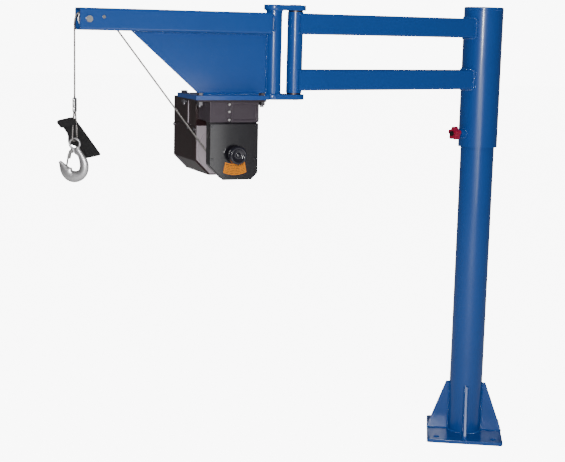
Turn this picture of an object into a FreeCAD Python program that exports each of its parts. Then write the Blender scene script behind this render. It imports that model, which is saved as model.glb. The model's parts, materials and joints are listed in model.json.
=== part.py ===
"""Articulated jib crane with an electric rope winch, as a parametric assembly of its pieces.

A post stands on a bolted base plate. A sleeve swings round the post and carries a short link
of two square tubes. At the end of the link an upright pin carries the boom: a square tube, a web
plate and the plate that the winch hangs from. The rope runs from the drum over an idler and the
tip sheave to the hook. Row frame: +Z up, origin on the floor at the post's axis. Millimetres.
"""
import FreeCAD
import Part
import math
import os
import re
import Sketcher

os.makedirs("parts", exist_ok=True)
doc = FreeCAD.newDocument("JibCrane")

# ---------------------------------------------------------------- driving dimensions
SIZES = {
    # base and post
    "base_width": 260, "base_depth": 280, "base_thickness": 12.7, "base_corner": 10,
    "anchor_hole": 20.6, "anchor_inset": 33,
    "gusset_height": 172, "gusset_reach": 71, "gusset_thickness": 10, "gusset_lip": 12,
    "post_diameter": 114.3, "post_wall": 6, "post_top": 1466, "post_cap_thickness": 8,
    # sleeve
    "sleeve_wall": 6, "sleeve_length": 460, "sleeve_cap_thickness": 10, "sleeve_cap_edge": 4,
    "thrust_thickness": 5, "thrust_inset": 11, "sleeve_bush_length": 32, "bush_wall": 2.8,
    "bush_running_gap": 0.05,
    # lock screw and knob
    "lock_height": 47, "lock_boss_diameter": 30, "lock_boss_length": 18, "stud_diameter": 16,
    "stud_clearance": 0.05, "stud_tip_gap": 0.25, "stud_end_cover": 4, "stud_end_gap": 0.5,
    "knob_stand_off": 10, "knob_thickness": 20, "knob_core": 34, "knob_lobe": 15, "knob_lobe_orbit": 15.5,
    "knob_hub": 24, "knob_hub_length": 7, "knob_cap_diameter": 17, "knob_cap_thickness": 6,
    # square tube shared by the link and the boom
    "tube_size": 63.5, "tube_wall": 5, "tube_corner": 7,
    # link
    "link_angle": 219, "link_length": 760, "link_drop": 61, "link_spacing": 171,
    # elbow
    "pipe_diameter": 48.3, "pipe_wall": 5, "hinge_spacing": 70, "hinge_plate_thickness": 15.9,
    "hinge_plate_margin": 7.6, "hinge_plate_overhang": 8, "hinge_room_above": 7.75,
    "hinge_room_below": 12.25, "boom_tube_setback": 20, "pin_diameter": 30,
    "pin_running_gap": 0.05, "pin_chamfer": 1.2, "flange_thickness": 4, "flange_inset": 1.65,
    "flange_gap": 0.3, "knuckle_bush_length": 34,
    # boom
    "boom_bend": -10, "boom_reach": 677, "boom_room_above": 9, "web_thickness": 9.5,
    "web_top_reach": 518, "web_bottom_reach": 309, "rope_slot_lead": 24, "rope_slot_length": 64,
    "rope_slot_width": 15, "tip_notch_length": 22, "cut_margin": 1,
    # winch plate and its bolts
    "winch_plate_start": 117, "winch_plate_length": 230, "winch_plate_width": 178,
    "winch_plate_thickness": 12.7, "winch_bolt_start": 134, "winch_bolt_spacing": 196,
    "winch_bolt_gauge": 144, "bolt_diameter": 12, "bolt_clearance": 0.75, "bolt_head_across": 18,
    "bolt_head_height": 7.5, "nut_height": 10, "bolt_end": 6,
    # winch body
    "winch_start": 147, "winch_length": 155, "bed_start": 124, "bed_length": 216, "bed_width": 168,
    "bed_thickness": 6, "case_depth": 29, "drum_bay": 92, "motor_depth": 213, "frame_height": 60.3,
    "winch_height": 232.3, "seam_drop": 80.3, "case_inset": 2, "case_back_wall": 8, "cover_thickness": 9,
    "cover_gap": 3, "tip_chamfer": 44, "mast_chamfer": 20, "cover_edge": 3, "bridge_wall": 8,
    "bridge_inset": 9, "housing_wall": 4, "end_frame_fit": 0.5, "end_frame_thickness": 10,
    "groove_width": 16, "groove_depth": 5, "groove_start": 88, "rib_recess": 4, "recess_margin": 7,
    # drum and gear train
    "drum_place": 221, "drum_drop": 156.3, "drum_flange_diameter": 148, "drum_flange_thickness": 4,
    "drum_core_diameter": 50, "drum_hub_diameter": 40, "drum_bore": 24, "drum_side_gap": 3,
    "wrap_diameter": 86, "bearing_diameter": 60, "bearing_width": 8,
    "shaft_diameter": 16, "sun_diameter": 24, "planet_diameter": 36, "gear_width": 14,
    "gear_gap": 0.1, "ring_wall": 5, "carrier_thickness": 4, "carrier_diameter": 84,
    "planet_pin_diameter": 10, "gear_side_gap": 0.6, "motor_can_diameter": 100, "motor_can_wall": 5,
    "motor_can_length": 128, "motor_can_gap": 4, "magnet_thickness": 7, "magnet_inset": 6,
    "motor_air_gap": 1, "shaft_end_gap": 1, "clutch_shaft_diameter": 18, "clutch_knob_diameter": 56,
    "clutch_stand_off": 17, "clutch_knob_thickness": 16, "clutch_knob_edge": 4,
    "label_thickness": 0.6, "label_inner": 31, "label_outer": 64, "label_half_angle": 26,
    "gland_diameter": 22, "gland_length": 16, "gland_place": 40, "gland_rise": 40,
    # rope, sheave and idler
    "rope_diameter": 5.6, "rope_gap": 0.3, "sheave_place": 651, "sheave_diameter": 49,
    "sheave_groove_diameter": 38, "sheave_width": 14, "groove_side_gap": 1.2, "groove_slope": 0.7,
    "groove_round": 1.6, "sheave_pin_diameter": 12, "sheave_pin_gap": 0.05, "sheave_head_margin": 3.5,
    "sheave_head_length": 7, "sheave_nut_margin": 4, "sheave_nut_length": 9, "sheave_bolt_end": 3,
    "spacer_diameter": 20, "spacer_gap": 0.3, "idler_place": 608, "idler_diameter": 24,
    "idler_width": 30, "idler_pin_diameter": 10, "idler_pin_end": 2, "tip_bend_radius": 32,
    "fall_place": 686, "fall_drop": 16.75, "fall_length": 208, "drum_wrap_angle": 25,
    # ferrule, rope eye and hook
    "ferrule_height": 42, "ferrule_width": 15, "ferrule_depth": 10, "ferrule_bulge": 1.6,
    "eye_turn": 60, "eye_bend_radius": 9, "eye_leg_gap": 0.6, "eye_gap": 1.6, "hook_eye_drop": 133,
    "hook_eye_radius": 15, "hook_eye_section": 7.2, "hook_bowl_drop": 67, "hook_bowl_shift": -3.8,
    "hook_mid_radius": 32, "hook_turn": 150, "hook_tip_length": 28, "hook_thickness": 18, "hook_depth": 27,
    "latch_pin_shift": -9, "latch_pin_drop": 22, "latch_pin_diameter": 4, "latch_pin_end": 1.5,
    "latch_pin_gap": 0.05, "latch_length": 46, "latch_offset": 7, "latch_side_width": 6, "latch_gap": 0.4,
    "latch_sheet": 1.6, "latch_lean": 9, "latch_ear_inset": 0.5, "lug_diameter": 13, "lug_thickness": 10,
    "strap_length": 130, "strap_width": 45, "strap_thickness": 4, "strap_lean": 37,
    "strap_across": 13, "strap_up": 14, "strap_gap": 1.4, "strap_corner": 12,
}

# ---------------------------------------------------------------- sizes that follow from fits and seats
FITTED = {
    # post and sleeve
    "thrust_diameter": "post_diameter - 2 * thrust_inset",
    "sleeve_bore": "post_diameter + 2 * bush_running_gap + 2 * bush_wall",
    "sleeve_diameter": "sleeve_bore + 2 * sleeve_wall",
    "sleeve_top": "post_top + post_cap_thickness + thrust_thickness",
    "sleeve_bottom": "sleeve_top - sleeve_length",
    "lock_level": "sleeve_bottom + lock_height",
    "lock_boss_end": "sleeve_diameter / 2 + lock_boss_length",
    "knob_start": "lock_boss_end + knob_stand_off",
    "stud_end": "knob_start + knob_thickness - stud_end_cover",
    "stud_bore": "stud_diameter + 2 * stud_clearance",
    # link and elbow
    "upper_link_level": "sleeve_top - link_drop",
    "lower_link_level": "upper_link_level - link_spacing",
    "hinge_bottom": "lower_link_level - tube_size / 2 - hinge_room_below",
    "hinge_top": "upper_link_level + tube_size / 2 + hinge_room_above",
    "hinge_height": "hinge_top - hinge_bottom",
    "hinge_plate_width": "pipe_diameter + 2 * hinge_plate_margin",
    "flange_diameter": "pipe_diameter - 2 * flange_inset",
    # boom and winch plate
    "boom_level": "hinge_top - tube_size / 2 - boom_room_above",
    "tube_under": "boom_level - tube_size / 2",
    "plate_under": "hinge_bottom - winch_plate_thickness",
    "bed_under": "plate_under - bed_thickness",
    # winch body
    "bay_front": "drum_bay / 2",
    "cover_back": "bay_front + case_depth",
    "winch_front": "cover_back + cover_thickness",
    "motor_end": "-bay_front - motor_depth",
    "frame_bottom": "bed_under - frame_height",
    "winch_bottom": "bed_under - winch_height",
    "housing_seam": "bed_under - seam_drop",
    "drum_level": "bed_under - drum_drop",
    # gear train
    "ring_bore": "sun_diameter + 2 * planet_diameter",
    "ring_outer": "ring_bore + 2 * ring_wall",
    "planet_orbit": "(sun_diameter + planet_diameter) / 2",
    "carrier_start": "bay_front + case_back_wall + gear_side_gap",
    "gear_start": "carrier_start + carrier_thickness + gear_side_gap",
    "motor_start": "-bay_front - end_frame_thickness - gear_side_gap - motor_can_gap - motor_can_length",
    "magnet_bore": "motor_can_diameter - 2 * motor_can_wall - 2 * magnet_thickness",
    "clutch_knob_start": "winch_front + clutch_stand_off",
    # rope and hook
    "groove_opening": "rope_diameter + 2 * groove_side_gap",
    "drum_lay": "wrap_diameter / 2 + rope_diameter / 2 + rope_gap",
    "sheave_pitch": "sheave_groove_diameter / 2 + rope_diameter / 2 + rope_gap",
    "idler_pitch": "idler_diameter / 2 + rope_diameter / 2 + rope_gap",
    "rope_crest": "boom_level + sheave_pitch",
    "idler_level": "rope_crest - idler_pitch",
    "idler_rise": "idler_level - drum_level",
    "idler_run": "idler_place - drum_place",
    "rope_climb": "atan2(idler_rise; idler_run)"
                  " + asin((drum_lay + idler_pitch) / hypot(idler_rise; idler_run))",
    "rope_crossing": "idler_place - idler_pitch * sin(rope_climb)"
                     " - (idler_level + idler_pitch * cos(rope_climb) - tube_under) / tan(rope_climb)",
    "fall_top": "boom_level - fall_drop",
    "ferrule_top": "fall_top - fall_length",
    "eye_neck": "rope_diameter / 2 + eye_leg_gap / 2",
    "hook_eye_level": "ferrule_top - hook_eye_drop",
    "latch_pin_level": "hook_eye_level - latch_pin_drop",
    "strap_back": "eye_bend_radius * sin(eye_turn) + rope_diameter / 2 + strap_gap + strap_thickness / 2",
}
sheet = doc.addObject("Spreadsheet::Sheet", "Sizes")
for row, (alias, number) in enumerate(SIZES.items(), start=1):
    sheet.set(f"A{row}", alias)
    sheet.set(f"B{row}", str(number))
    sheet.setAlias(f"B{row}", alias)
doc.recompute()
NAME = re.compile(r"[a-z]+(?:_[a-z]+)+")


def spelled(formula):
    """A formula in which every fitted size is written out and every driving one names its cell."""
    def lookup(match):
        name = match.group()
        return f"({spelled(FITTED[name])})" if name in FITTED else f"Sizes.{name}"
    return NAME.sub(lookup, str(formula))


def cell(formula):
    """A size, or a formula of sizes, as a number."""
    return float(sheet.evalExpression(spelled(formula)))


def bind(thing, **sizes):
    """Tie properties to formulas of sizes, such as Radius='pipe_diameter / 2'."""
    for name, formula in sizes.items():
        thing.setExpression(name, spelled(formula))
    return thing


def put(thing, x="0", y="0", z="0"):
    """Tie an object's place inside its assembly to formulas."""
    for name, formula in (("x", x), ("y", y), ("z", z)):
        thing.setExpression("Placement.Base." + name, spelled(formula))
    return thing


# ---------------------------------------------------------------- shape helpers
TURNS = {
    "Z": FreeCAD.Rotation(),
    "X": FreeCAD.Rotation(FreeCAD.Vector(0, 1, 0), 90),
    "Y": FreeCAD.Rotation(FreeCAD.Vector(1, 0, 0), -90),
}
TINY = 1e-6


def box(dx, dy, dz, x="0", y="0", z="0"):
    return put(bind(doc.addObject("Part::Box", "Block"), Length=dx, Width=dy, Height=dz), x, y, z)


def cylinder(diameter, length, x="0", y="0", z="0", axis="Z"):
    rod = bind(doc.addObject("Part::Cylinder", "Rod"), Radius=f"({diameter}) / 2", Height=length)
    rod.Placement = FreeCAD.Placement(FreeCAD.Vector(), TURNS[axis])
    return put(rod, x, y, z)


def cut(base, *tools):
    result = doc.addObject("Part::Cut", "Cut")
    result.Base = base
    result.Tool = tools[0] if len(tools) == 1 else fuse(*tools)
    return result


def fuse(*shapes):
    result = doc.addObject("Part::MultiFuse", "Joined")
    result.Shapes = list(shapes)
    return result


def common(*shapes):
    result = doc.addObject("Part::MultiCommon", "Shared")
    result.Shapes = list(shapes)
    return result


def ring(outer, inner, length, x="0", y="0", z="0", axis="Z"):
    return cut(cylinder(outer, length, x, y, z, axis), cylinder(inner, length, x, y, z, axis))


def hexagon(across, height, x="0", y="0", z="0"):
    prism = doc.addObject("Part::Prism", "Hexagon")
    prism.Polygon = 6
    bind(prism, Circumradius=f"({across}) / 2 / cos(30)", Height=height)
    return put(prism, x, y, z)


def outline_sketch(body, plane, corners):
    """A closed outline on one of the body's own planes, each corner placed by two formulas."""
    sketch = body.newObject("Sketcher::SketchObject", "Outline")
    origin_plane = [item for item in body.Origin.OriginFeatures if item.Role == plane + "_Plane"][0]
    sketch.AttachmentSupport = [(origin_plane, "")]
    sketch.MapMode = "FlatFace"
    count = len(corners)
    turns = [2 * math.pi * i / count for i in range(count)]
    start = [FreeCAD.Vector(math.cos(turn), math.sin(turn), 0) for turn in turns]
    for i in range(count):
        sketch.addGeometry(Part.LineSegment(start[i], start[(i + 1) % count]), False)
    for i in range(count):
        sketch.addConstraint(Sketcher.Constraint("Coincident", i, 2, (i + 1) % count, 1))
    for i, corner in enumerate(corners):
        for kind, formula in zip(("DistanceX", "DistanceY"), corner):
            index = sketch.addConstraint(Sketcher.Constraint(kind, -1, 1, i, 1, 1.0))
            bind(sketch, **{f"Constraints[{index}]": formula})
    return sketch


def polygon_body(plane, corners, depth, x="0", y="0", z="0"):
    """A plate: a closed outline padded equally to both sides of its plane."""
    body = doc.addObject("PartDesign::Body", "Plate")
    sketch = outline_sketch(body, plane, corners)
    pad = body.newObject("PartDesign::Pad", "Thickness")
    pad.Profile = sketch
    pad.Midplane = True
    bind(pad, Length=depth)
    doc.recompute()
    return put(body, x, y, z)


def disc_body(diameter, height):
    """A round disc that can be given rounded or chamfered rims."""
    body = doc.addObject("PartDesign::Body", "Turned")
    disc = body.newObject("PartDesign::AdditiveCylinder", "Disc")
    bind(disc, Radius=f"({diameter}) / 2", Height=height)
    doc.recompute()
    return body


def round_body(body, radius, chosen):
    """Rounds the edges of a body's last feature that the test picks."""
    tip = body.Tip
    names = [f"Edge{i + 1}" for i, edge in enumerate(tip.Shape.Edges) if chosen(edge)]
    fillet = body.newObject("PartDesign::Fillet", "Rounding")
    fillet.Base = (tip, names)
    bind(fillet, Radius=radius)
    doc.recompute()
    return body


def is_rim(edge):
    return isinstance(edge.Curve, Part.Circle)


def along(direction):
    """A test for straight edges that lie along a direction."""
    def chosen(edge):
        straight = isinstance(edge.Curve, Part.Line)
        return straight and abs(abs(edge.Curve.Direction.dot(direction)) - 1) < TINY
    return chosen


ALONG_X = along(FreeCAD.Vector(1, 0, 0))
ALONG_Y = along(FreeCAD.Vector(0, 1, 0))
ALONG_Z = along(FreeCAD.Vector(0, 0, 1))


def rectangle(half_width, half_height):
    """The four corners of an upright rectangle about the origin."""
    w, h = f"({half_width})", f"({half_height})"
    return [(f"-{w}", f"-{h}"), (w, f"-{h}"), (w, h), (f"-{w}", h)]


def square_tube(length, x, z):
    """A square tube along X, centred on Y and on the level z."""
    def bar(inset, corner):
        half = f"tube_size / 2 - {inset}"
        body = polygon_body("YZ", rectangle(half, half), length, f"{x} + ({length}) / 2", "0", z)
        return round_body(body, corner, ALONG_X)
    return cut(bar("0", "tube_corner"), bar("tube_wall", "tube_corner - tube_wall"))


def feature(shape):
    """A sub-part whose shape is made directly from sizes."""
    holder = doc.addObject("Part::Feature", "Shape")
    holder.Shape = shape
    return holder


pieces = []


def piece(label, frame, *shapes):
    """A named sub-part: its shapes gathered and set in the frame of its assembly."""
    part = doc.addObject("Part::Compound", label)
    part.Label = label
    part.Links = list(shapes)
    part.Placement = frame
    pieces.append(part)


def turned(x, y, z, angle):
    return FreeCAD.Placement(FreeCAD.Vector(x, y, z), FreeCAD.Rotation(FreeCAD.Vector(0, 0, 1), angle))


def tilted(angle):
    """A turn about the Y axis."""
    return FreeCAD.Placement(FreeCAD.Vector(), FreeCAD.Rotation(FreeCAD.Vector(0, 1, 0), cell(angle)))


# ---------------------------------------------------------------- assembly frames
# Each arm's frame has +X out along the arm and +Y to the side that the winch's cover faces.
POST = FreeCAD.Placement()
LINK = turned(0, 0, 0, cell("link_angle"))
BOOM = LINK.multiply(turned(cell("link_length"), 0, 0, cell("boom_bend")))
fall_point = BOOM.multVec(FreeCAD.Vector(cell("fall_place"), 0, 0))
HOOK = turned(fall_point.x, fall_point.y, 0, 0)
EYE = turned(fall_point.x, fall_point.y, 0, cell("eye_turn"))


# ---------------------------------------------------------------- post
def build_post():
    half_x, half_y = "base_width / 2", "base_depth / 2"
    plate = polygon_body("XY", rectangle(half_x, half_y), "base_thickness", z="base_thickness / 2")
    round_body(plate, "base_corner", ALONG_Z)
    holes = [cylinder("anchor_hole", "base_thickness", f"{side_x} * ({half_x} - anchor_inset)",
                      f"{side_y} * ({half_y} - anchor_inset)") for side_x in (-1, 1) for side_y in (-1, 1)]
    piece("base_plate", POST, cut(plate, *holes))

    rise = "base_thickness + gusset_height"
    toe = "post_diameter / 2 + gusset_reach"
    outline = [("0", "base_thickness"), (toe, "base_thickness"), (toe, "base_thickness + gusset_lip"),
               ("post_diameter / 2 + gusset_lip", rise), ("0", rise)]
    gusset = cut(polygon_body("XZ", outline, "gusset_thickness"), cylinder("post_diameter", "post_top"))
    gussets = []
    for number in range(4):
        corner = doc.addObject("Part::Compound", "Gusset")
        corner.Links = [gusset]
        corner.Placement = turned(0, 0, 0, 90 * number)
        gussets.append(corner)
    piece("gussets", POST, *gussets)

    tube = ring("post_diameter", "post_diameter - 2 * post_wall", "post_top - base_thickness",
                z="base_thickness")
    piece("post_tube", POST, tube)
    piece("post_cap", POST, cylinder("post_diameter", "post_cap_thickness", z="post_top"))
    washer = cylinder("thrust_diameter", "thrust_thickness", z="post_top + post_cap_thickness")
    piece("thrust_washer", POST, washer)


# ---------------------------------------------------------------- sleeve, lock and link
def build_sleeve():
    tube = ring("sleeve_diameter", "sleeve_bore", "sleeve_length", z="sleeve_bottom")
    tapping = cylinder("stud_bore", "sleeve_diameter", z="lock_level", axis="X")
    piece("sleeve_tube", LINK, cut(tube, tapping))

    lid = disc_body("sleeve_diameter", "sleeve_cap_thickness")
    top = cell("sleeve_cap_thickness")
    round_body(lid, "sleeve_cap_edge", lambda edge: is_rim(edge) and abs(edge.Curve.Center.z - top) < TINY)
    piece("sleeve_cap", LINK, put(lid, z="sleeve_top"))

    bush = ("sleeve_bore", "post_diameter + 2 * bush_running_gap", "sleeve_bush_length")
    bushes = [ring(*bush, z=level) for level in ("sleeve_bottom", "post_top - sleeve_bush_length")]
    piece("sleeve_bushes", LINK, *bushes)


def build_lock():
    boss = ring("lock_boss_diameter", "stud_bore", "lock_boss_end", z="lock_level", axis="X")
    piece("lock_boss", LINK, cut(boss, cylinder("sleeve_diameter", "sleeve_length", z="sleeve_bottom")))

    tip = "post_diameter / 2 + stud_tip_gap"
    piece("lock_stud", LINK, cylinder("stud_diameter", f"stud_end - ({tip})", tip, z="lock_level", axis="X"))

    core = cylinder("knob_core", "knob_thickness", "knob_start", z="lock_level", axis="X")
    back = "knob_start - knob_hub_length"
    hub = cylinder("knob_hub", "knob_hub_length", back, z="lock_level", axis="X")
    lobes = [cylinder("knob_lobe", "knob_thickness", "knob_start", f"knob_lobe_orbit * cos({turn})",
                      f"lock_level + knob_lobe_orbit * sin({turn})", "X") for turn in range(90, 450, 72)]
    socket = cylinder("stud_bore", f"stud_end + stud_end_gap - ({back})", back, z="lock_level", axis="X")
    piece("lock_knob", LINK, cut(fuse(core, hub, *lobes), socket))
    cap = cylinder("knob_cap_diameter", "knob_cap_thickness", "knob_start + knob_thickness", z="lock_level",
                   axis="X")
    piece("knob_cap", LINK, cap)


def build_link():
    sleeve = cylinder("sleeve_diameter", "sleeve_length", z="sleeve_bottom")
    knuckle = cylinder("pipe_diameter", "hinge_height", "link_length", z="hinge_bottom")
    start = "sleeve_bore / 2"
    for label, level in (("link_upper_tube", "upper_link_level"), ("link_lower_tube", "lower_link_level")):
        piece(label, LINK, cut(square_tube(f"link_length - {start}", start, level), sleeve, knuckle))

    base = "hinge_bottom + flange_gap + flange_thickness"
    top = "hinge_top - flange_gap - flange_thickness"
    bore = "pipe_diameter - 2 * pipe_wall"
    piece("knuckle_pipe", LINK, ring("pipe_diameter", bore, f"{top} - ({base})", "link_length", z=base))
    hole = cylinder("pin_diameter + 2 * pin_running_gap", "hinge_height", "link_length", z="hinge_bottom")
    bushes = []
    for start, flange in ((base, "hinge_bottom + flange_gap"), (f"{top} - knuckle_bush_length", top)):
        barrel = cylinder(bore, "knuckle_bush_length", "link_length", z=start)
        collar = cylinder("flange_diameter", "flange_thickness", "link_length", z=flange)
        bushes.append(cut(fuse(barrel, collar), hole))
    piece("knuckle_bushes", LINK, *bushes)


# ---------------------------------------------------------------- elbow and boom
def build_hinge():
    far = "hinge_spacing + pipe_diameter / 2 - hinge_plate_width / 2 + hinge_plate_overhang"
    for label, level in (("hinge_bottom_plate", "hinge_bottom - hinge_plate_thickness"),
                         ("hinge_top_plate", "hinge_top")):
        middle = box(far, "hinge_plate_width", "hinge_plate_thickness", "0", "-hinge_plate_width / 2", level)
        ends = [cylinder("hinge_plate_width", "hinge_plate_thickness", place, z=level)
                for place in ("0", far)]
        hole = cylinder("pin_diameter", "hinge_plate_thickness", z=level)
        piece(label, BOOM, cut(fuse(middle, *ends), hole))

    pin = disc_body("pin_diameter", "hinge_height + 2 * hinge_plate_thickness")
    chamfer = pin.newObject("PartDesign::Chamfer", "Lead")
    rod = pin.Group[0]
    chamfer.Base = (rod, [f"Edge{i + 1}" for i, edge in enumerate(rod.Shape.Edges) if is_rim(edge)])
    bind(chamfer, Size="pin_chamfer")
    piece("elbow_pin", BOOM, put(pin, z="hinge_bottom - hinge_plate_thickness"))

    post = ring("pipe_diameter", "pipe_diameter - 2 * pipe_wall", "hinge_height", "hinge_spacing",
                z="hinge_bottom")
    piece("hinge_post", BOOM, post)


def build_boom():
    post = cylinder("pipe_diameter", "hinge_height", "hinge_spacing", z="hinge_bottom")
    tube_start = "hinge_spacing + boom_tube_setback"
    blank = square_tube(f"boom_reach - ({tube_start})", tube_start, "boom_level")
    through = ("rope_slot_width", "tube_wall + 2 * cut_margin")
    floor = ("-rope_slot_width / 2", "tube_under - cut_margin")
    slot = box("rope_slot_length", *through, "rope_crossing - rope_slot_lead", *floor)
    notch = box("tip_notch_length + cut_margin", *through, "boom_reach - tip_notch_length", *floor)
    across = ("tube_size + 2 * cut_margin", "-tube_size / 2 - cut_margin")
    sheave_hole = cylinder("sheave_pin_diameter", across[0], "sheave_place", across[1], "boom_level", "Y")
    idler_hole = cylinder("idler_pin_diameter", across[0], "idler_place", across[1], "idler_level", "Y")
    piece("boom_tube", BOOM, cut(blank, post, slot, notch, sheave_hole, idler_hole))

    outline = [("hinge_spacing", "hinge_bottom"), ("web_bottom_reach", "hinge_bottom"),
               ("web_top_reach", "tube_under"), ("hinge_spacing", "tube_under")]
    piece("web_plate", BOOM, cut(polygon_body("XZ", outline, "web_thickness"), post))


def bolt_places():
    """The four corners of the winch plate's bolt pattern."""
    return [(f"winch_bolt_start + {i} * winch_bolt_spacing", f"{side} * winch_bolt_gauge / 2")
            for i in (0, 1) for side in (-1, 1)]


def build_winch_plate():
    hole = "bolt_diameter + 2 * bolt_clearance"
    plate = box("winch_plate_length", "winch_plate_width", "winch_plate_thickness", "winch_plate_start",
                "-winch_plate_width / 2", "plate_under")
    drilled = [cylinder(hole, "winch_plate_thickness", x, y, "plate_under") for x, y in bolt_places()]
    piece("winch_plate", BOOM, cut(plate, *drilled))

    bed = box("bed_length", "bed_width", "bed_thickness", "bed_start", "-bed_width / 2", "bed_under")
    drilled = [cylinder(hole, "bed_thickness", x, y, "bed_under") for x, y in bolt_places()]
    piece("winch_bed", BOOM, cut(bed, *drilled))

    shank = "hinge_bottom - bed_under + nut_height + bolt_end"
    bolts = []
    nuts = []
    for x, y in bolt_places():
        head = hexagon("bolt_head_across", "bolt_head_height", x, y, "hinge_bottom")
        rod = cylinder("bolt_diameter", shank, x, y, f"hinge_bottom - ({shank})")
        bolts.append(fuse(head, rod))
        nut = hexagon("bolt_head_across", "nut_height", x, y, "bed_under - nut_height")
        nuts.append(cut(nut, cylinder("bolt_diameter", "nut_height", x, y, "bed_under - nut_height")))
    piece("winch_bolts", BOOM, *bolts)
    piece("winch_nuts", BOOM, *nuts)


# ---------------------------------------------------------------- winch body
def casing_outline(inset, top):
    """The winch's end outline: upright, with one large and one small corner cut off below."""
    left, right = f"(winch_start + {inset})", f"(winch_start + winch_length - ({inset}))"
    bottom = f"(winch_bottom + {inset})"
    return [(f"{left} + mast_chamfer", bottom), (f"{right} - tip_chamfer", bottom),
            (right, f"{bottom} + tip_chamfer"), (right, top), (left, top), (left, f"{bottom} + mast_chamfer")]


def build_winch_frame():
    front_depth = "case_depth + cover_thickness"
    front = box("winch_length", front_depth, "frame_height", "winch_start", "bay_front", "frame_bottom")
    pocket = box("winch_length - 2 * bridge_wall", f"{front_depth} - 2 * bridge_wall", "frame_height",
                 "winch_start + bridge_wall", "bay_front + bridge_wall", "frame_bottom - bridge_wall")
    groove = box("groove_width", "groove_depth", "frame_height", "winch_start + groove_start",
                 "winch_front - groove_depth", "frame_bottom")
    recess = box("groove_start - 2 * recess_margin", "rib_recess", "frame_height - 2 * recess_margin",
                 "winch_start + recess_margin", "winch_front - rib_recess", "frame_bottom + recess_margin")

    bridge = box("winch_length - 2 * bridge_inset", "drum_bay", "frame_height", "winch_start + bridge_inset",
                 "-bay_front", "frame_bottom")
    hollow = box("winch_length - 2 * bridge_inset - 2 * bridge_wall", "drum_bay",
                 "frame_height - bridge_wall", "winch_start + bridge_inset + bridge_wall", "-bay_front",
                 "frame_bottom")
    piece("winch_frame", BOOM, cut(fuse(front, bridge), pocket, groove, recess, hollow))


def build_motor_case():
    saddle = box("winch_length", "motor_depth", "bed_under - housing_seam", "winch_start", "motor_end",
                 "housing_seam")
    inside = box("winch_length - 2 * housing_wall", "motor_depth - 2 * housing_wall",
                 "bed_under - housing_seam - housing_wall", "winch_start + housing_wall",
                 "motor_end + housing_wall", "housing_seam")
    piece("motor_saddle", BOOM, cut(saddle, inside))

    lining = "housing_wall + end_frame_fit"
    plate = polygon_body("XZ", casing_outline(lining, "housing_seam"), "end_frame_thickness",
                         y="-bay_front - end_frame_thickness / 2")
    bore = on_drum("bearing_diameter", "end_frame_thickness", "-bay_front - end_frame_thickness")
    piece("end_frame", BOOM, cut(plate, bore))

    outer = polygon_body("XZ", casing_outline("0", "housing_seam"), "motor_depth",
                         y="motor_end + motor_depth / 2")
    inner = polygon_body("XZ", casing_outline(lining, "housing_seam + cut_margin"),
                         "motor_depth - housing_wall", y="motor_end + (motor_depth + housing_wall) / 2")
    piece("motor_housing", BOOM, cut(outer, inner))
    gland = cylinder("gland_diameter", "gland_length", "winch_start + gland_place",
                     "motor_end - gland_length", "drum_level + gland_rise", "Y")
    piece("cable_gland", BOOM, gland)


def build_gear_case():
    case = polygon_body("XZ", casing_outline("case_inset", "frame_bottom"), "case_depth",
                        y="bay_front + case_depth / 2")
    bowl = on_drum("ring_outer", "case_depth - case_back_wall", "bay_front + case_back_wall")
    bore = on_drum("bearing_diameter", "case_depth", "bay_front")
    piece("gear_case", BOOM, cut(case, bowl, bore))

    plate = polygon_body("XZ", casing_outline("0", "frame_bottom - cover_gap"), "cover_thickness",
                         y="winch_front - cover_thickness / 2")
    face = cell("cover_thickness / 2")
    round_body(plate, "cover_edge", lambda edge: all(abs(end.Point.y - face) < TINY for end in edge.Vertexes))
    hole = on_drum("clutch_shaft_diameter + 2 * stud_clearance", "cover_thickness", "cover_back")
    piece("gear_cover", BOOM, cut(plate, hole))

    sector = feature(sector_plate("label_inner", "label_outer", "label_half_angle", "label_thickness"))
    piece("warning_label", BOOM, put(sector, "drum_place", "winch_front", "drum_level"))


def sector_plate(inner, outer, half_angle, thickness):
    """A ring sector hanging below its centre in the XZ plane, with its thickness along +Y."""
    def spot(radius, degrees):
        turn = math.radians(degrees)
        return FreeCAD.Vector(math.cos(turn), 0, math.sin(turn)) * cell(radius)
    middle = -90
    low, high = middle - cell(half_angle), middle + cell(half_angle)
    edges = [Part.Arc(spot(outer, low), spot(outer, middle), spot(outer, high)).toShape(),
             Part.LineSegment(spot(outer, high), spot(inner, high)).toShape(),
             Part.Arc(spot(inner, high), spot(inner, middle), spot(inner, low)).toShape(),
             Part.LineSegment(spot(inner, low), spot(outer, low)).toShape()]
    return Part.Face(Part.Wire(edges)).extrude(FreeCAD.Vector(0, cell(thickness), 0))


# ---------------------------------------------------------------- drum and gear train
def on_drum(diameter, length, y):
    """A cylinder on the drum's axis."""
    return cylinder(diameter, length, "drum_place", y, "drum_level", "Y")


def drum_ring(outer, inner, length, y):
    return cut(on_drum(outer, length, y), on_drum(inner, length, y))


def build_drum():
    half = "(bay_front - drum_side_gap)"
    core = on_drum("drum_core_diameter", f"2 * {half}", f"-{half}")
    flanges = [on_drum("drum_flange_diameter", "drum_flange_thickness", y)
               for y in (f"-{half}", f"{half} - drum_flange_thickness")]
    hub_end = "(bay_front + case_back_wall)"
    hub = on_drum("drum_hub_diameter", f"2 * {hub_end}", f"-{hub_end}")
    bore = on_drum("drum_bore", f"2 * {hub_end}", f"-{hub_end}")
    piece("drum_spool", BOOM, cut(fuse(core, hub, *flanges), bore))

    wrap_half = f"({half} - drum_flange_thickness)"
    piece("rope_wraps", BOOM, drum_ring("wrap_diameter", "drum_core_diameter", f"2 * {wrap_half}",
                                        f"-{wrap_half}"))
    bearings = [drum_ring("bearing_diameter", "drum_hub_diameter + 2 * bush_running_gap", "bearing_width", y)
                for y in ("bay_front", "-bay_front - bearing_width")]
    piece("drum_bearings", BOOM, *bearings)


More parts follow.
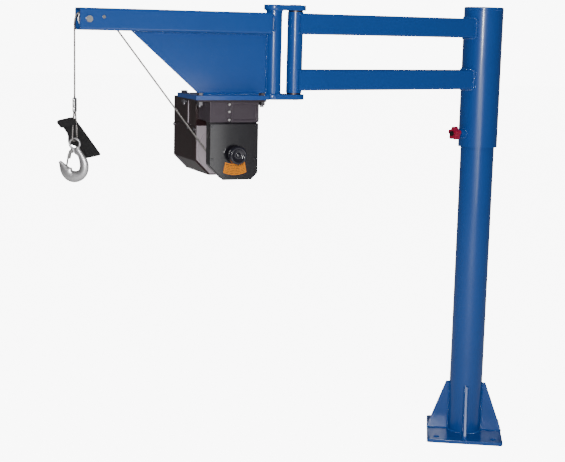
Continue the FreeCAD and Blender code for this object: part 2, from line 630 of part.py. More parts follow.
def build_gears():
    hub_end = "(bay_front + case_back_wall)"
    disc = on_drum("carrier_diameter", "carrier_thickness", "carrier_start")
    spigot = on_drum("drum_hub_diameter", f"carrier_start - {hub_end}", hub_end)
    opening = on_drum("drum_bore", f"carrier_start - {hub_end} + carrier_thickness", hub_end)
    pins = []
    gears = []
    for turn in range(90, 450, 120):
        x, z = f"drum_place + planet_orbit * cos({turn})", f"drum_level + planet_orbit * sin({turn})"
        pins.append(cylinder("planet_pin_diameter", "gear_start - carrier_start + gear_width", x,
                             "carrier_start", z, "Y"))
        gears.append(ring("planet_diameter - 2 * gear_gap", "planet_pin_diameter + 2 * stud_clearance",
                          "gear_width", x, "gear_start", z, "Y"))
    piece("planet_carrier", BOOM, cut(fuse(disc, spigot, *pins), opening))
    for number, gear in enumerate(gears, start=1):
        piece(f"planet_gear_{number}", BOOM, gear)
    piece("ring_gear", BOOM, drum_ring("ring_outer", "ring_bore", "gear_width", "gear_start"))


def build_motor():
    can = on_drum("motor_can_diameter", "motor_can_length", "motor_start")
    cavity = on_drum("motor_can_diameter - 2 * motor_can_wall", "motor_can_length - 2 * motor_can_wall",
                     "motor_start + motor_can_wall")
    nose = on_drum("stud_bore", "motor_can_wall", "motor_start + motor_can_length - motor_can_wall")
    length = "motor_can_length - 2 * motor_can_wall - 2 * magnet_inset"
    start = "motor_start + motor_can_wall + magnet_inset"
    magnets = drum_ring("motor_can_diameter - 2 * motor_can_wall", "magnet_bore", length, start)
    piece("motor_stator", BOOM, cut(can, cavity, nose), magnets)
    piece("motor_rotor", BOOM, drum_ring("magnet_bore - 2 * motor_air_gap", "shaft_diameter", length, start))

    shaft_start = "(motor_start + motor_can_wall + shaft_end_gap)"
    shaft = on_drum("shaft_diameter", f"gear_start + gear_width - {shaft_start}", shaft_start)
    sun = on_drum("sun_diameter - 2 * gear_gap", "gear_width", "gear_start")
    piece("drive_shaft", BOOM, fuse(shaft, sun))


def build_clutch():
    inner = "gear_start + gear_width + gear_side_gap"
    shaft = on_drum("clutch_shaft_diameter", f"clutch_knob_start - ({inner})", inner)
    knob = round_body(disc_body("clutch_knob_diameter", "clutch_knob_thickness"), "clutch_knob_edge", is_rim)
    knob.Placement = FreeCAD.Placement(FreeCAD.Vector(), TURNS["Y"])
    piece("clutch_knob", BOOM, fuse(shaft, put(knob, "drum_place", "clutch_knob_start", "drum_level")))


# ---------------------------------------------------------------- sheave and idler
def build_sheave():
    side, bore = "sheave_width / 2", "sheave_pin_diameter / 2 + sheave_pin_gap"
    rim, floor = "sheave_diameter / 2", "sheave_groove_diameter / 2"
    lip, root = "groove_opening / 2", "groove_opening / 2 - groove_slope"
    section = [(f"-{side}", bore), (side, bore), (side, rim), (lip, rim), (root, f"{floor} + groove_round"),
               ("groove_round", floor), ("-groove_round", floor), (f"-({root})", f"{floor} + groove_round"),
               (f"-{lip}", rim), (f"-{side}", rim)]
    wheel = doc.addObject("PartDesign::Body", "Wheel")
    sketch = outline_sketch(wheel, "YZ", section)
    spin = wheel.newObject("PartDesign::Revolution", "Spin")
    spin.Profile = sketch
    spin.ReferenceAxis = (sketch, ["H_Axis"])
    spin.Angle = 360
    doc.recompute()
    piece("tip_sheave", BOOM, put(wheel, "sheave_place", "0", "boom_level"))

    def on_pin(diameter, length, y):
        return cylinder(diameter, length, "sheave_place", y, "boom_level", "Y")
    near = "tube_size / 2"
    far = f"-{near} - sheave_nut_length"
    pin = on_pin("sheave_pin_diameter", f"{near} - ({far}) + sheave_bolt_end", f"{far} - sheave_bolt_end")
    head = on_pin("sheave_pin_diameter + 2 * sheave_head_margin", "sheave_head_length", near)
    nut = cut(on_pin("sheave_pin_diameter + 2 * sheave_nut_margin", "sheave_nut_length", far),
              on_pin("sheave_pin_diameter", "sheave_nut_length", far))
    piece("sheave_bolt", BOOM, fuse(pin, head), nut)
    inside = "(tube_size / 2 - tube_wall)"
    thick = f"({inside} - {side} - spacer_gap)"
    spacers = [cut(on_pin("spacer_diameter", thick, y), on_pin("sheave_pin_diameter", thick, y))
               for y in (f"{side} + spacer_gap", f"-{inside}")]
    piece("sheave_spacers", BOOM, *spacers)


def build_idler():
    roller = ring("idler_diameter", "idler_pin_diameter + 2 * sheave_pin_gap", "idler_width", "idler_place",
                  "-idler_width / 2", "idler_level", "Y")
    piece("idler_roller", BOOM, roller)
    pin = cylinder("idler_pin_diameter", "tube_size + 2 * idler_pin_end", "idler_place",
                   "-tube_size / 2 - idler_pin_end", "idler_level", "Y")
    piece("idler_pin", BOOM, pin)


# ---------------------------------------------------------------- rope
def pipe(edges, diameter):
    """A round rope along joined edges."""
    wire = Part.Wire(edges)
    first = wire.Edges[0]
    heading = first.tangentAt(first.FirstParameter)
    end_ring = Part.Wire(Part.makeCircle(diameter / 2, first.valueAt(first.FirstParameter), heading))
    rope = wire.makePipeShell([end_ring], True, True)
    ratio = rope.Volume / (math.pi * diameter ** 2 / 4 * wire.Length)
    print(f"rope length {wire.Length:.1f} mm, volume over section times length {ratio:.4f}")
    return rope


def in_plane(angle, radius):
    """A step in the XZ plane: its angle from +X in radians and its length."""
    return FreeCAD.Vector(math.cos(angle), 0, math.sin(angle)) * radius


def bend_edge(centre, radius, start, end):
    """An arc in the XZ plane between two angles."""
    spots = [centre + in_plane(angle, radius) for angle in (start, (start + end) / 2, end)]
    return Part.Arc(*spots).toShape()


def line_edge(start, end):
    return Part.LineSegment(start, end).toShape()


def build_rope():
    upright = math.pi / 2
    drum = FreeCAD.Vector(cell("drum_place"), 0, cell("drum_level"))
    idler = FreeCAD.Vector(cell("idler_place"), 0, cell("idler_level"))
    lay, pitch = cell("drum_lay"), cell("idler_pitch")
    climb = math.radians(cell("rope_climb"))
    wrap = math.radians(cell("drum_wrap_angle"))
    bend = cell("tip_bend_radius")
    crest = cell("rope_crest")
    bend_centre = FreeCAD.Vector(cell("fall_place") - bend, 0, crest - bend)
    tail = FreeCAD.Vector(cell("fall_place"), 0, cell("fall_top"))
    edges = [bend_edge(drum, lay, climb - upright - wrap, climb - upright),
             line_edge(drum + in_plane(climb - upright, lay), idler + in_plane(climb + upright, pitch)),
             bend_edge(idler, pitch, climb + upright, upright),
             line_edge(idler + in_plane(upright, pitch), bend_centre + in_plane(upright, bend)),
             bend_edge(bend_centre, bend, upright, 0),
             line_edge(bend_centre + in_plane(0, bend), tail)]
    piece("rope_run", BOOM, feature(pipe(edges, cell("rope_diameter"))))
    piece("rope_fall", HOOK, cylinder("rope_diameter", "fall_length", z="ferrule_top"))


def build_rope_eye():
    """The loop that hangs from the ferrule and passes through the hook's eye."""
    low = cell("ferrule_top - ferrule_height")
    bend = cell("eye_bend_radius")
    ring_inside = "hook_eye_level + hook_eye_radius - hook_eye_section / 2"
    centre = FreeCAD.Vector(0, 0, cell(f"{ring_inside} - rope_diameter / 2 - eye_gap") + bend)
    neck = cell("eye_neck")
    reach = math.hypot(neck, low - centre.z)
    touch = math.atan2(low - centre.z, neck) - math.acos(bend / reach)
    edges = [line_edge(FreeCAD.Vector(-neck, 0, low), centre + in_plane(math.pi - touch, bend)),
             bend_edge(centre, bend, math.pi - touch, 2 * math.pi + touch),
             line_edge(centre + in_plane(touch, bend), FreeCAD.Vector(neck, 0, low))]
    piece("rope_eye", EYE, feature(pipe(edges, cell("rope_diameter"))))

    shell = doc.addObject("Part::Ellipsoid", "Swage")
    bind(shell, Radius1="ferrule_height * 0.62", Radius2="ferrule_width / 2 + ferrule_bulge",
         Radius3="ferrule_depth / 2 + ferrule_bulge")
    put(shell, z="ferrule_top - ferrule_height / 2")
    block = box("ferrule_width", "ferrule_depth", "ferrule_height",
                "-ferrule_width / 2", "-ferrule_depth / 2", "ferrule_top - ferrule_height")
    piece("ferrule", EYE, common(shell, block))


# ---------------------------------------------------------------- hook, latch and strap
# The hook's sections from the eye to the point: where on the spine, half-width in the hook's
# plane as a share of its depth, and half-thickness as a share of its thickness.
SHANK_SHARES = ((1, 0.29, 0.17), (0.7, 0.36, 0.33), (0.35, 0.44, 0.43), (0, 0.50, 0.48))
BOWL_SHARES = ((0.2, 0.52, 0.49), (0.4, 0.53, 0.50), (0.6, 0.52, 0.50), (0.8, 0.46, 0.47), (1, 0.37, 0.43))
POINT_SHARES = ((0.5, 0.26, 0.33), (1, 0.12, 0.20))


def hook_section(centre, heading, radial, side):
    """An ellipse across the spine, with one axis in the hook's plane and one across it."""
    inward = FreeCAD.Vector(0, 1, 0).cross(heading).normalize() * radial
    across = FreeCAD.Vector(0, side, 0)
    wide, narrow = (inward, across) if radial >= side else (across, inward)
    return Part.Wire(Part.Ellipse(centre + wide, centre + narrow, centre).toShape())


def hook_horn():
    """The hook without its eye: a shank that curves out, a round bowl and a straight point."""
    eye_level, mid = cell("hook_eye_level"), cell("hook_mid_radius")
    depth, thickness = cell("hook_depth"), cell("hook_thickness")
    bowl = FreeCAD.Vector(cell("hook_bowl_shift"), 0, eye_level - cell("hook_bowl_drop"))
    start = FreeCAD.Vector(0, 0, eye_level - cell("hook_eye_radius"))
    run = bowl.x + mid
    rise = start.z - bowl.z
    sweep = (run ** 2 + rise ** 2) / (2 * run)
    shank = FreeCAD.Vector(bowl.x + mid - sweep, 0, bowl.z)
    lean = math.atan2(rise, -shank.x)
    turn = -math.radians(cell("hook_turn"))
    sections = []

    def add(centre, angle, radial, side):
        heading = in_plane(angle - math.pi / 2, 1)
        sections.append(hook_section(centre, heading, radial * depth, side * thickness))
    for share, radial, side in SHANK_SHARES:
        add(shank + in_plane(lean * share, sweep), lean * share, radial, side)
    for share, radial, side in BOWL_SHARES:
        add(bowl + in_plane(turn * share, mid), turn * share, radial, side)
    point_start = bowl + in_plane(turn, mid)
    for share, radial, side in POINT_SHARES:
        step = in_plane(turn - math.pi / 2, cell("hook_tip_length") * share)
        add(point_start + step, turn, radial, side)
    return feature(Part.makeLoft(sections, True))


def on_latch_pin(diameter, length, y):
    return cylinder(diameter, length, "latch_pin_shift", y, "latch_pin_level", "Y")


def build_hook():
    eye = doc.addObject("Part::Torus", "Eye")
    bind(eye, Radius1="hook_eye_radius", Radius2="hook_eye_section / 2")
    eye.Placement = FreeCAD.Placement(FreeCAD.Vector(), TURNS["Y"])
    put(eye, z="hook_eye_level")
    half = "lug_thickness / 2"
    lug = on_latch_pin("lug_diameter", "lug_thickness", f"-{half}")
    hole = on_latch_pin("latch_pin_diameter", "lug_thickness", f"-{half}")
    piece("hook_forging", HOOK, cut(fuse(hook_horn(), eye, lug), hole))

    reach = f"({half} + latch_gap + latch_sheet + latch_pin_end)"
    piece("latch_pin", HOOK, on_latch_pin("latch_pin_diameter", f"2 * {reach}", f"-{reach}"))


def build_latch():
    """A sheet tongue with two folded sides that end in ears on the pin."""
    side_places = ("lug_thickness / 2 + latch_gap", "-lug_thickness / 2 - latch_gap - latch_sheet")
    bore = "latch_pin_diameter + 2 * latch_pin_gap"
    ears = []
    sides = []
    for y in side_places:
        ears.append(cut(on_latch_pin("lug_diameter - 2 * latch_ear_inset", "latch_sheet", y),
                        on_latch_pin(bore, "latch_sheet", y)))
        blank = box("latch_side_width", "latch_sheet", "latch_length / 2", "-latch_offset", y,
                    "-latch_length / 2")
        sides.append(cut(blank, cylinder(bore, "latch_sheet", "0", y, "0", "Y")))
    tongue = box("latch_sheet", "lug_thickness + 2 * latch_gap + 2 * latch_sheet",
                 "latch_length - lug_diameter / 2 - cut_margin",
                 "-latch_offset - latch_sheet", side_places[1], "-latch_length")
    arm = fuse(tongue, *sides)
    arm.Placement = tilted("latch_lean")
    piece("hook_latch", HOOK, fuse(put(arm, "latch_pin_shift", "0", "latch_pin_level"), *ears))


def build_strap():
    band = polygon_body("XZ", rectangle("strap_width / 2", "strap_length / 2"), "strap_thickness")
    round_body(band, "strap_corner", ALONG_Y)
    band.Placement = tilted("-strap_lean")
    piece("hand_strap", HOOK, put(band, "strap_across", "strap_back", "hook_eye_level + strap_up"))


for build in (build_post, build_sleeve, build_lock, build_link, build_hinge, build_boom, build_winch_plate,
              build_winch_frame, build_motor_case, build_gear_case, build_drum, build_gears, build_motor,
              build_clutch, build_sheave, build_idler, build_rope, build_rope_eye, build_hook, build_latch,
              build_strap):
    build()
doc.recompute()

# ---------------------------------------------------------------- checks and export
for thing in doc.Objects:
    if "Invalid" in thing.State or "Error" in thing.State:
        raise RuntimeError(f"{thing.Label} did not build: {thing.State}")
for part in pieces:
    if part.Shape.isNull() or not part.Shape.isValid() or part.Shape.Volume <= 0:
        raise RuntimeError(f"{part.Label} has no valid shape")
for part in pieces:
    part.Shape.exportStep(f"parts/{part.Label}.step")
print(f"{len(pieces)} nodes written")
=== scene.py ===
import json
import math
import random
from contextlib import contextmanager

import bmesh
import bpy
from mathutils import Matrix, Vector, noise


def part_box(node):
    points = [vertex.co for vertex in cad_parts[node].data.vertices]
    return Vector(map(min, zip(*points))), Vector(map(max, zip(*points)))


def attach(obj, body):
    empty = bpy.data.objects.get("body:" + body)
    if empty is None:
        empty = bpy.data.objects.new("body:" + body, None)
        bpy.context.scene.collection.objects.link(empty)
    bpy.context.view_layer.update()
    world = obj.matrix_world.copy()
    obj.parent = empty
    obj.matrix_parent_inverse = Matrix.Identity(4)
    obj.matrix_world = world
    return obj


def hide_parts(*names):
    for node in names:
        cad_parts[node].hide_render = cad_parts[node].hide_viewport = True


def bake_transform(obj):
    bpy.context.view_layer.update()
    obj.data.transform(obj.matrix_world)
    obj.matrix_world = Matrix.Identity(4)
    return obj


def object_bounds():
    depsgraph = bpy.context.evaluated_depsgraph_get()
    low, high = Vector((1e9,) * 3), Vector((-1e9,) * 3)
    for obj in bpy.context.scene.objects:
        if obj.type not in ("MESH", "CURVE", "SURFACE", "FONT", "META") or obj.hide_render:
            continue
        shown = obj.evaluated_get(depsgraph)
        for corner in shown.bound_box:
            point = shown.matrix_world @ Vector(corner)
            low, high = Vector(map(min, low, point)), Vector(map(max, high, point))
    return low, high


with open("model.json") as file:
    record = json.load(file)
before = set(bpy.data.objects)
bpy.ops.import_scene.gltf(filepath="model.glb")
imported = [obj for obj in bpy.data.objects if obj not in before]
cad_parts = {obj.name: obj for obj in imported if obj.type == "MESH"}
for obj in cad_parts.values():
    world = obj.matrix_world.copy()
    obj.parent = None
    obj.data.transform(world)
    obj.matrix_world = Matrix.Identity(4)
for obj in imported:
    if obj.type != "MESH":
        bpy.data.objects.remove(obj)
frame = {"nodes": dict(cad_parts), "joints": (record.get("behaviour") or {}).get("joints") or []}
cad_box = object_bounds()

# ------------------------------------------------------------------ places, read from the frame
MM = 0.001
UP = Vector((0, 0, 1))
JOINTS = {joint["name"]: joint for joint in frame["joints"]}


class Arm:
    """A level arm's own axes: out along it, across it to the near side, and up."""

    def __init__(self, origin, across):
        self.origin = Vector((origin[0], origin[1], 0))
        self.across = Vector(across).normalized()
        self.along = self.across.cross(UP)

    def point(self, out, near, height):
        """A point in the row frame, from millimetres out, to the near side and up."""
        return self.origin + (self.along * out + self.across * near + UP * height) * MM

    def line(self, *spots):
        """Points given as (out, near, height)."""
        return [self.point(*spot) for spot in spots]

    def span(self, node):
        """A CAD node's lowest and highest millimetres out, near and up."""
        spans = []
        vertices = [vertex.co - self.origin for vertex in frame["nodes"][node].data.vertices]
        for axis in (self.along, self.across, UP):
            values = [co.dot(axis) / MM for co in vertices]
            spans.append((min(values), max(values)))
        return spans


BOOM = Arm(JOINTS["elbow_swing"]["pos_m"], JOINTS["drum_spin"]["axis"])
link_out = Vector(JOINTS["lock_screw_travel"]["axis"])
LINK = Arm((0, 0, 0), UP.cross(link_out))
POST = Arm((0, 0, 0), (0, 1, 0))


# ------------------------------------------------------------------ camera and light
CAMERA_PLACE = Vector((-0.2027, -4.395, 1.41))
CAMERA_YAW = 6.0
CAMERA_TILT = 9.17
CAMERA_ROLL = 1.42
CAMERA_LENS = 80.9
ROOM_BRIGHTNESS = 0.10
BACKDROP_BRIGHTNESS = 9.0
FLOOR_GLOW = 8.6
CARD_DISTANCE = 1.6
CARD_SIZE = (0.5, 0.6)
CARD_SHIFT = 0.05
CARD_POWER = 2.6


def build_camera():
    data = bpy.data.cameras.new("Camera")
    data.lens = CAMERA_LENS
    data.sensor_width = 36
    data.clip_end = 50
    camera = bpy.data.objects.new("Camera", data)
    turn = (Matrix.Rotation(math.radians(CAMERA_YAW), 4, "Z")
            @ Matrix.Rotation(math.radians(90 - CAMERA_TILT), 4, "X")
            @ Matrix.Rotation(math.radians(CAMERA_ROLL), 4, "Z"))
    camera.matrix_world = Matrix.Translation(CAMERA_PLACE) @ turn
    bpy.context.scene.collection.objects.link(camera)
    bpy.context.scene.camera = camera


def area_light(name, place, target, size, power, glossy=True):
    """A soft rectangular light of (width, height), aimed at a point; glossy says whether paint mirrors it."""
    data = bpy.data.lights.new(name, "AREA")
    data.shape = "RECTANGLE"
    data.size, data.size_y = size
    data.energy = power
    lamp = bpy.data.objects.new(name, data)
    aim = Vector(target) - Vector(place)
    lamp.matrix_world = Matrix.Translation(place) @ aim.to_track_quat("-Z", "Y").to_matrix().to_4x4()
    lamp.visible_glossy = glossy
    bpy.context.scene.collection.objects.link(lamp)


def build_lights():
    middle = Vector((-0.6, -0.4, 1.1))
    area_light("Flash", (-0.25, -4.9, 1.75), middle, (0.30, 0.9), 120)
    area_light("Ceiling", (-0.5, -1.2, 4.2), middle, (3.5, 3.0), 40, glossy=False)
    area_light("Left fill", (-4.2, -2.6, 2.0), middle, (2.4, 2.4), 14, glossy=False)
    area_light("Right fill", (3.4, -2.4, 1.8), middle, (1.6, 2.4), 6, glossy=False)
    build_winch_card()
    world = bpy.data.worlds.new("Studio")
    world.use_nodes = True
    graph = Graph(world.node_tree)
    seen = graph.add("ShaderNodeLightPath").outputs["Is Camera Ray"]
    strength = graph.math("MULTIPLY_ADD", seen, BACKDROP_BRIGHTNESS - ROOM_BRIGHTNESS, ROOM_BRIGHTNESS)
    backdrop = world.node_tree.nodes["Background"]
    backdrop.inputs["Color"].default_value = (1, 1, 1, 1)
    graph.feed(backdrop.inputs["Strength"], strength)
    bpy.context.scene.world = world


def build_winch_card():
    """A soft card whose edge mirrors in the middle of the winch's front, for a fade across the cover."""
    (out_low, out_high), (_, front), (low, high) = BOOM.span("gear_cover")
    middle = BOOM.point((out_low + out_high) / 2, front, (low + high) / 2)
    sight = (middle - CAMERA_PLACE).normalized()
    mirrored = sight - 2 * sight.dot(BOOM.across) * BOOM.across
    sideways = mirrored.cross(UP).normalized()
    if sideways.dot(BOOM.along) < 0:
        sideways = -sideways
    place = middle + mirrored * CARD_DISTANCE + sideways * (CARD_SIZE[0] / 2 + CARD_SHIFT)
    area_light("Winch card", place, middle, CARD_SIZE, CARD_POWER)


def build_floor():
    """A plain pale floor, just under the base plate."""
    mesh = bpy.data.meshes.new("Floor")
    reach = 30
    mesh.from_pydata([(-reach, -reach, 0), (reach, -reach, 0), (reach, reach, 0), (-reach, reach, 0)], [],
                     [(0, 1, 2, 3)])
    floor = bpy.data.objects.new("Floor", mesh)
    floor.location.z = cad_box[0][2] - 0.0005
    bpy.context.scene.collection.objects.link(floor)
    paper = bpy.data.materials.new("Pale floor")
    paper.use_nodes = True
    shader = paper.node_tree.nodes["Principled BSDF"]
    shader.inputs["Base Color"].default_value = (0.94, 0.94, 0.94, 1)
    shader.inputs["Roughness"].default_value = 0.9
    graph = Graph(paper.node_tree)
    seen = graph.add("ShaderNodeLightPath").outputs["Is Camera Ray"]
    shader.inputs["Emission Color"].default_value = (1, 1, 1, 1)
    graph.feed(shader.inputs["Emission Strength"], graph.math("MULTIPLY", seen, FLOOR_GLOW))
    mesh.materials.append(paper)


# ------------------------------------------------------------------ shader groups
def group_socket(group, name, way, kind, value=None):
    socket = group.interface.new_socket(name=name, in_out=way, socket_type="NodeSocket" + kind)
    if value is not None:
        socket.default_value = value
    return socket


class Graph:
    """Short ways to add and join nodes in one node tree."""

    def __init__(self, tree):
        self.tree = tree

    def add(self, kind, props=None, **inputs):
        node = self.tree.nodes.new(kind)
        for name, value in (props or {}).items():
            setattr(node, name, value)
        for name, value in inputs.items():
            self.feed(node.inputs[name.replace("_", " ")], value)
        return node

    def feed(self, socket, value):
        if isinstance(value, bpy.types.NodeSocket):
            self.tree.links.new(value, socket)
        else:
            socket.default_value = value

    def math(self, operation, first, second=0.0, third=0.0):
        node = self.tree.nodes.new("ShaderNodeMath")
        node.operation = operation
        for socket, value in zip(node.inputs, (first, second, third)):
            self.feed(socket, value)
        return node.outputs[0]

    def ramp(self, factor, low, high):
        """A smooth step from 0 at low to 1 at high."""
        node = self.add("ShaderNodeMapRange", {"interpolation_type": "SMOOTHSTEP"})
        self.feed(node.inputs["Value"], factor)
        node.inputs["From Min"].default_value = low
        node.inputs["From Max"].default_value = high
        return node.outputs["Result"]

    def mix(self, factor, first, second, blend="MIX"):
        node = self.tree.nodes.new("ShaderNodeMix")
        node.data_type = "RGBA"
        node.blend_type = blend
        self.feed(node.inputs["Factor"], factor)
        self.feed(node.inputs[6], first)
        self.feed(node.inputs[7], second)
        return node.outputs[2]

    def noise(self, vector, scale, detail=3.0, roughness=0.5):
        node = self.add("ShaderNodeTexNoise", Scale=scale, Detail=detail, Roughness=roughness)
        self.tree.links.new(vector, node.inputs["Vector"])
        return node.outputs["Fac"]


def shader_group(name, inputs, outputs):
    """An empty node group with named sockets; returns its graph, its input sockets and its output node."""
    group = bpy.data.node_groups.new(name, "ShaderNodeTree")
    for label, kind, value in inputs:
        group_socket(group, label, "INPUT", kind, value)
    for label, kind in outputs:
        group_socket(group, label, "OUTPUT", kind)
    graph = Graph(group)
    entry = group.nodes.new("NodeGroupInput")
    leave = group.nodes.new("NodeGroupOutput")
    return graph, entry.outputs, leave


def build_patina_group():
    """Uneven tone, dust and fine scuffs for a painted or plated surface."""
    graph, given, leave = shader_group(
        "Patina",
        [("Color", "Color", (0.5, 0.5, 0.5, 1)), ("Dust color", "Color", (0.5, 0.5, 0.5, 1)),
         ("Tone", "Float", 0.1), ("Dust", "Float", 0.1), ("Roughness", "Float", 0.4),
         ("Scuffs", "Float", 0.2), ("Grain size", "Float", 400.0)],
        [("Color", "Color"), ("Roughness", "Float"), ("Height", "Float")])
    place = graph.add("ShaderNodeTexCoord").outputs["Object"]
    broad = graph.noise(place, 5.0, 4.0)
    tone = graph.math("MULTIPLY", graph.math("SUBTRACT", broad, 0.5), given["Tone"])
    value = graph.math("ADD", tone, 1.0)
    shaded = graph.add("ShaderNodeHueSaturation")
    graph.feed(shaded.inputs["Value"], value)
    graph.feed(shaded.inputs["Color"], given["Color"])
    speck = graph.ramp(graph.noise(place, 260.0, 2.0), 0.56, 0.72)
    patches = graph.ramp(graph.noise(place, 11.0, 5.0, 0.65), 0.45, 0.75)
    dust = graph.math("MULTIPLY", graph.math("MULTIPLY", speck, patches), given["Dust"])
    color = graph.mix(dust, shaded.outputs["Color"], given["Dust color"])
    stretch = graph.add("ShaderNodeMapping", Vector=place)
    stretch.inputs["Scale"].default_value = (9.0, 9.0, 160.0)
    scratch = graph.ramp(graph.noise(stretch.outputs["Vector"], 7.0, 4.0, 0.7), 0.6, 0.78)
    scuff = graph.math("MULTIPLY", graph.math("MULTIPLY", scratch, patches), given["Scuffs"])
    rough = graph.math("ADD", given["Roughness"], graph.math("MULTIPLY", scuff, 0.35))
    rough = graph.math("ADD", rough, graph.math("MULTIPLY", dust, 0.5))
    grain = graph.add("ShaderNodeTexNoise", Detail=2.0)
    graph.tree.links.new(place, grain.inputs["Vector"])
    graph.feed(grain.inputs["Scale"], given["Grain size"])
    height = graph.math("ADD", grain.outputs["Fac"], graph.math("MULTIPLY", scuff, -0.4))
    graph.feed(leave.inputs["Color"], color)
    graph.feed(leave.inputs["Roughness"], rough)
    graph.feed(leave.inputs["Height"], height)
    return graph.tree


def build_edge_group():
    """A mask of sharp outer edges, worn unevenly, from how far the rounded normal leans from the flat one."""
    graph, given, leave = shader_group(
        "Edge wear", [("Rounded normal", "Vector", (0, 0, 1)), ("Amount", "Float", 0.5)], [("Mask", "Float")])
    flat = graph.add("ShaderNodeNewGeometry").outputs["True Normal"]
    lean = graph.add("ShaderNodeVectorMath", {"operation": "DOT_PRODUCT"})
    graph.feed(lean.inputs[0], given["Rounded normal"])
    graph.feed(lean.inputs[1], flat)
    edge = graph.ramp(graph.math("SUBTRACT", 1.0, lean.outputs["Value"]), 0.02, 0.12)
    place = graph.add("ShaderNodeTexCoord").outputs["Object"]
    chips = graph.ramp(graph.noise(place, 90.0, 5.0, 0.7), 0.5, 0.62)
    worn = graph.math("MULTIPLY", edge, chips)
    graph.feed(leave.inputs["Mask"], graph.math("MULTIPLY", worn, given["Amount"]))
    return graph.tree


GROUPS = {}


def finish_material(name, color, dust=(0.4, 0.38, 0.36), tone=0.15, dust_amount=0.1, roughness=0.4,
                    scuffs=0.2, grain=400.0, bump=0.1, metal=0.0, coat=0.0, coat_roughness=0.1, wear=0.0,
                    worn_color=(0.35, 0.34, 0.33), specular=0.5):
    """A Principled material with the shared patina, and chipped edges where wear is given."""
    material = bpy.data.materials.new(name)
    material.use_nodes = True
    graph = Graph(material.node_tree)
    shader = material.node_tree.nodes["Principled BSDF"]
    patina = graph.add("ShaderNodeGroup", {"node_tree": GROUPS["patina"]})
    patina.inputs["Color"].default_value = (*color, 1)
    patina.inputs["Dust color"].default_value = (*dust, 1)
    patina.inputs["Tone"].default_value = tone
    patina.inputs["Dust"].default_value = dust_amount
    patina.inputs["Roughness"].default_value = roughness
    patina.inputs["Scuffs"].default_value = scuffs
    patina.inputs["Grain size"].default_value = grain
    tint = patina.outputs["Color"]
    if wear:
        rounded = graph.add("ShaderNodeBevel", {"samples": 4}, Radius=0.0012)
        edge = graph.add("ShaderNodeGroup", {"node_tree": GROUPS["edge"]})
        graph.feed(edge.inputs["Rounded normal"], rounded.outputs["Normal"])
        edge.inputs["Amount"].default_value = wear
        tint = graph.mix(edge.outputs["Mask"], tint, (*worn_color, 1))
    graph.feed(shader.inputs["Base Color"], tint)
    graph.feed(shader.inputs["Roughness"], patina.outputs["Roughness"])
    relief = graph.add("ShaderNodeBump", Strength=bump, Distance=0.0004)
    graph.feed(relief.inputs["Height"], patina.outputs["Height"])
    graph.feed(shader.inputs["Normal"], relief.outputs["Normal"])
    shader.inputs["Metallic"].default_value = metal
    shader.inputs["Coat Weight"].default_value = coat
    shader.inputs["Coat Roughness"].default_value = coat_roughness
    shader.inputs["Specular IOR Level"].default_value = specular
    return material


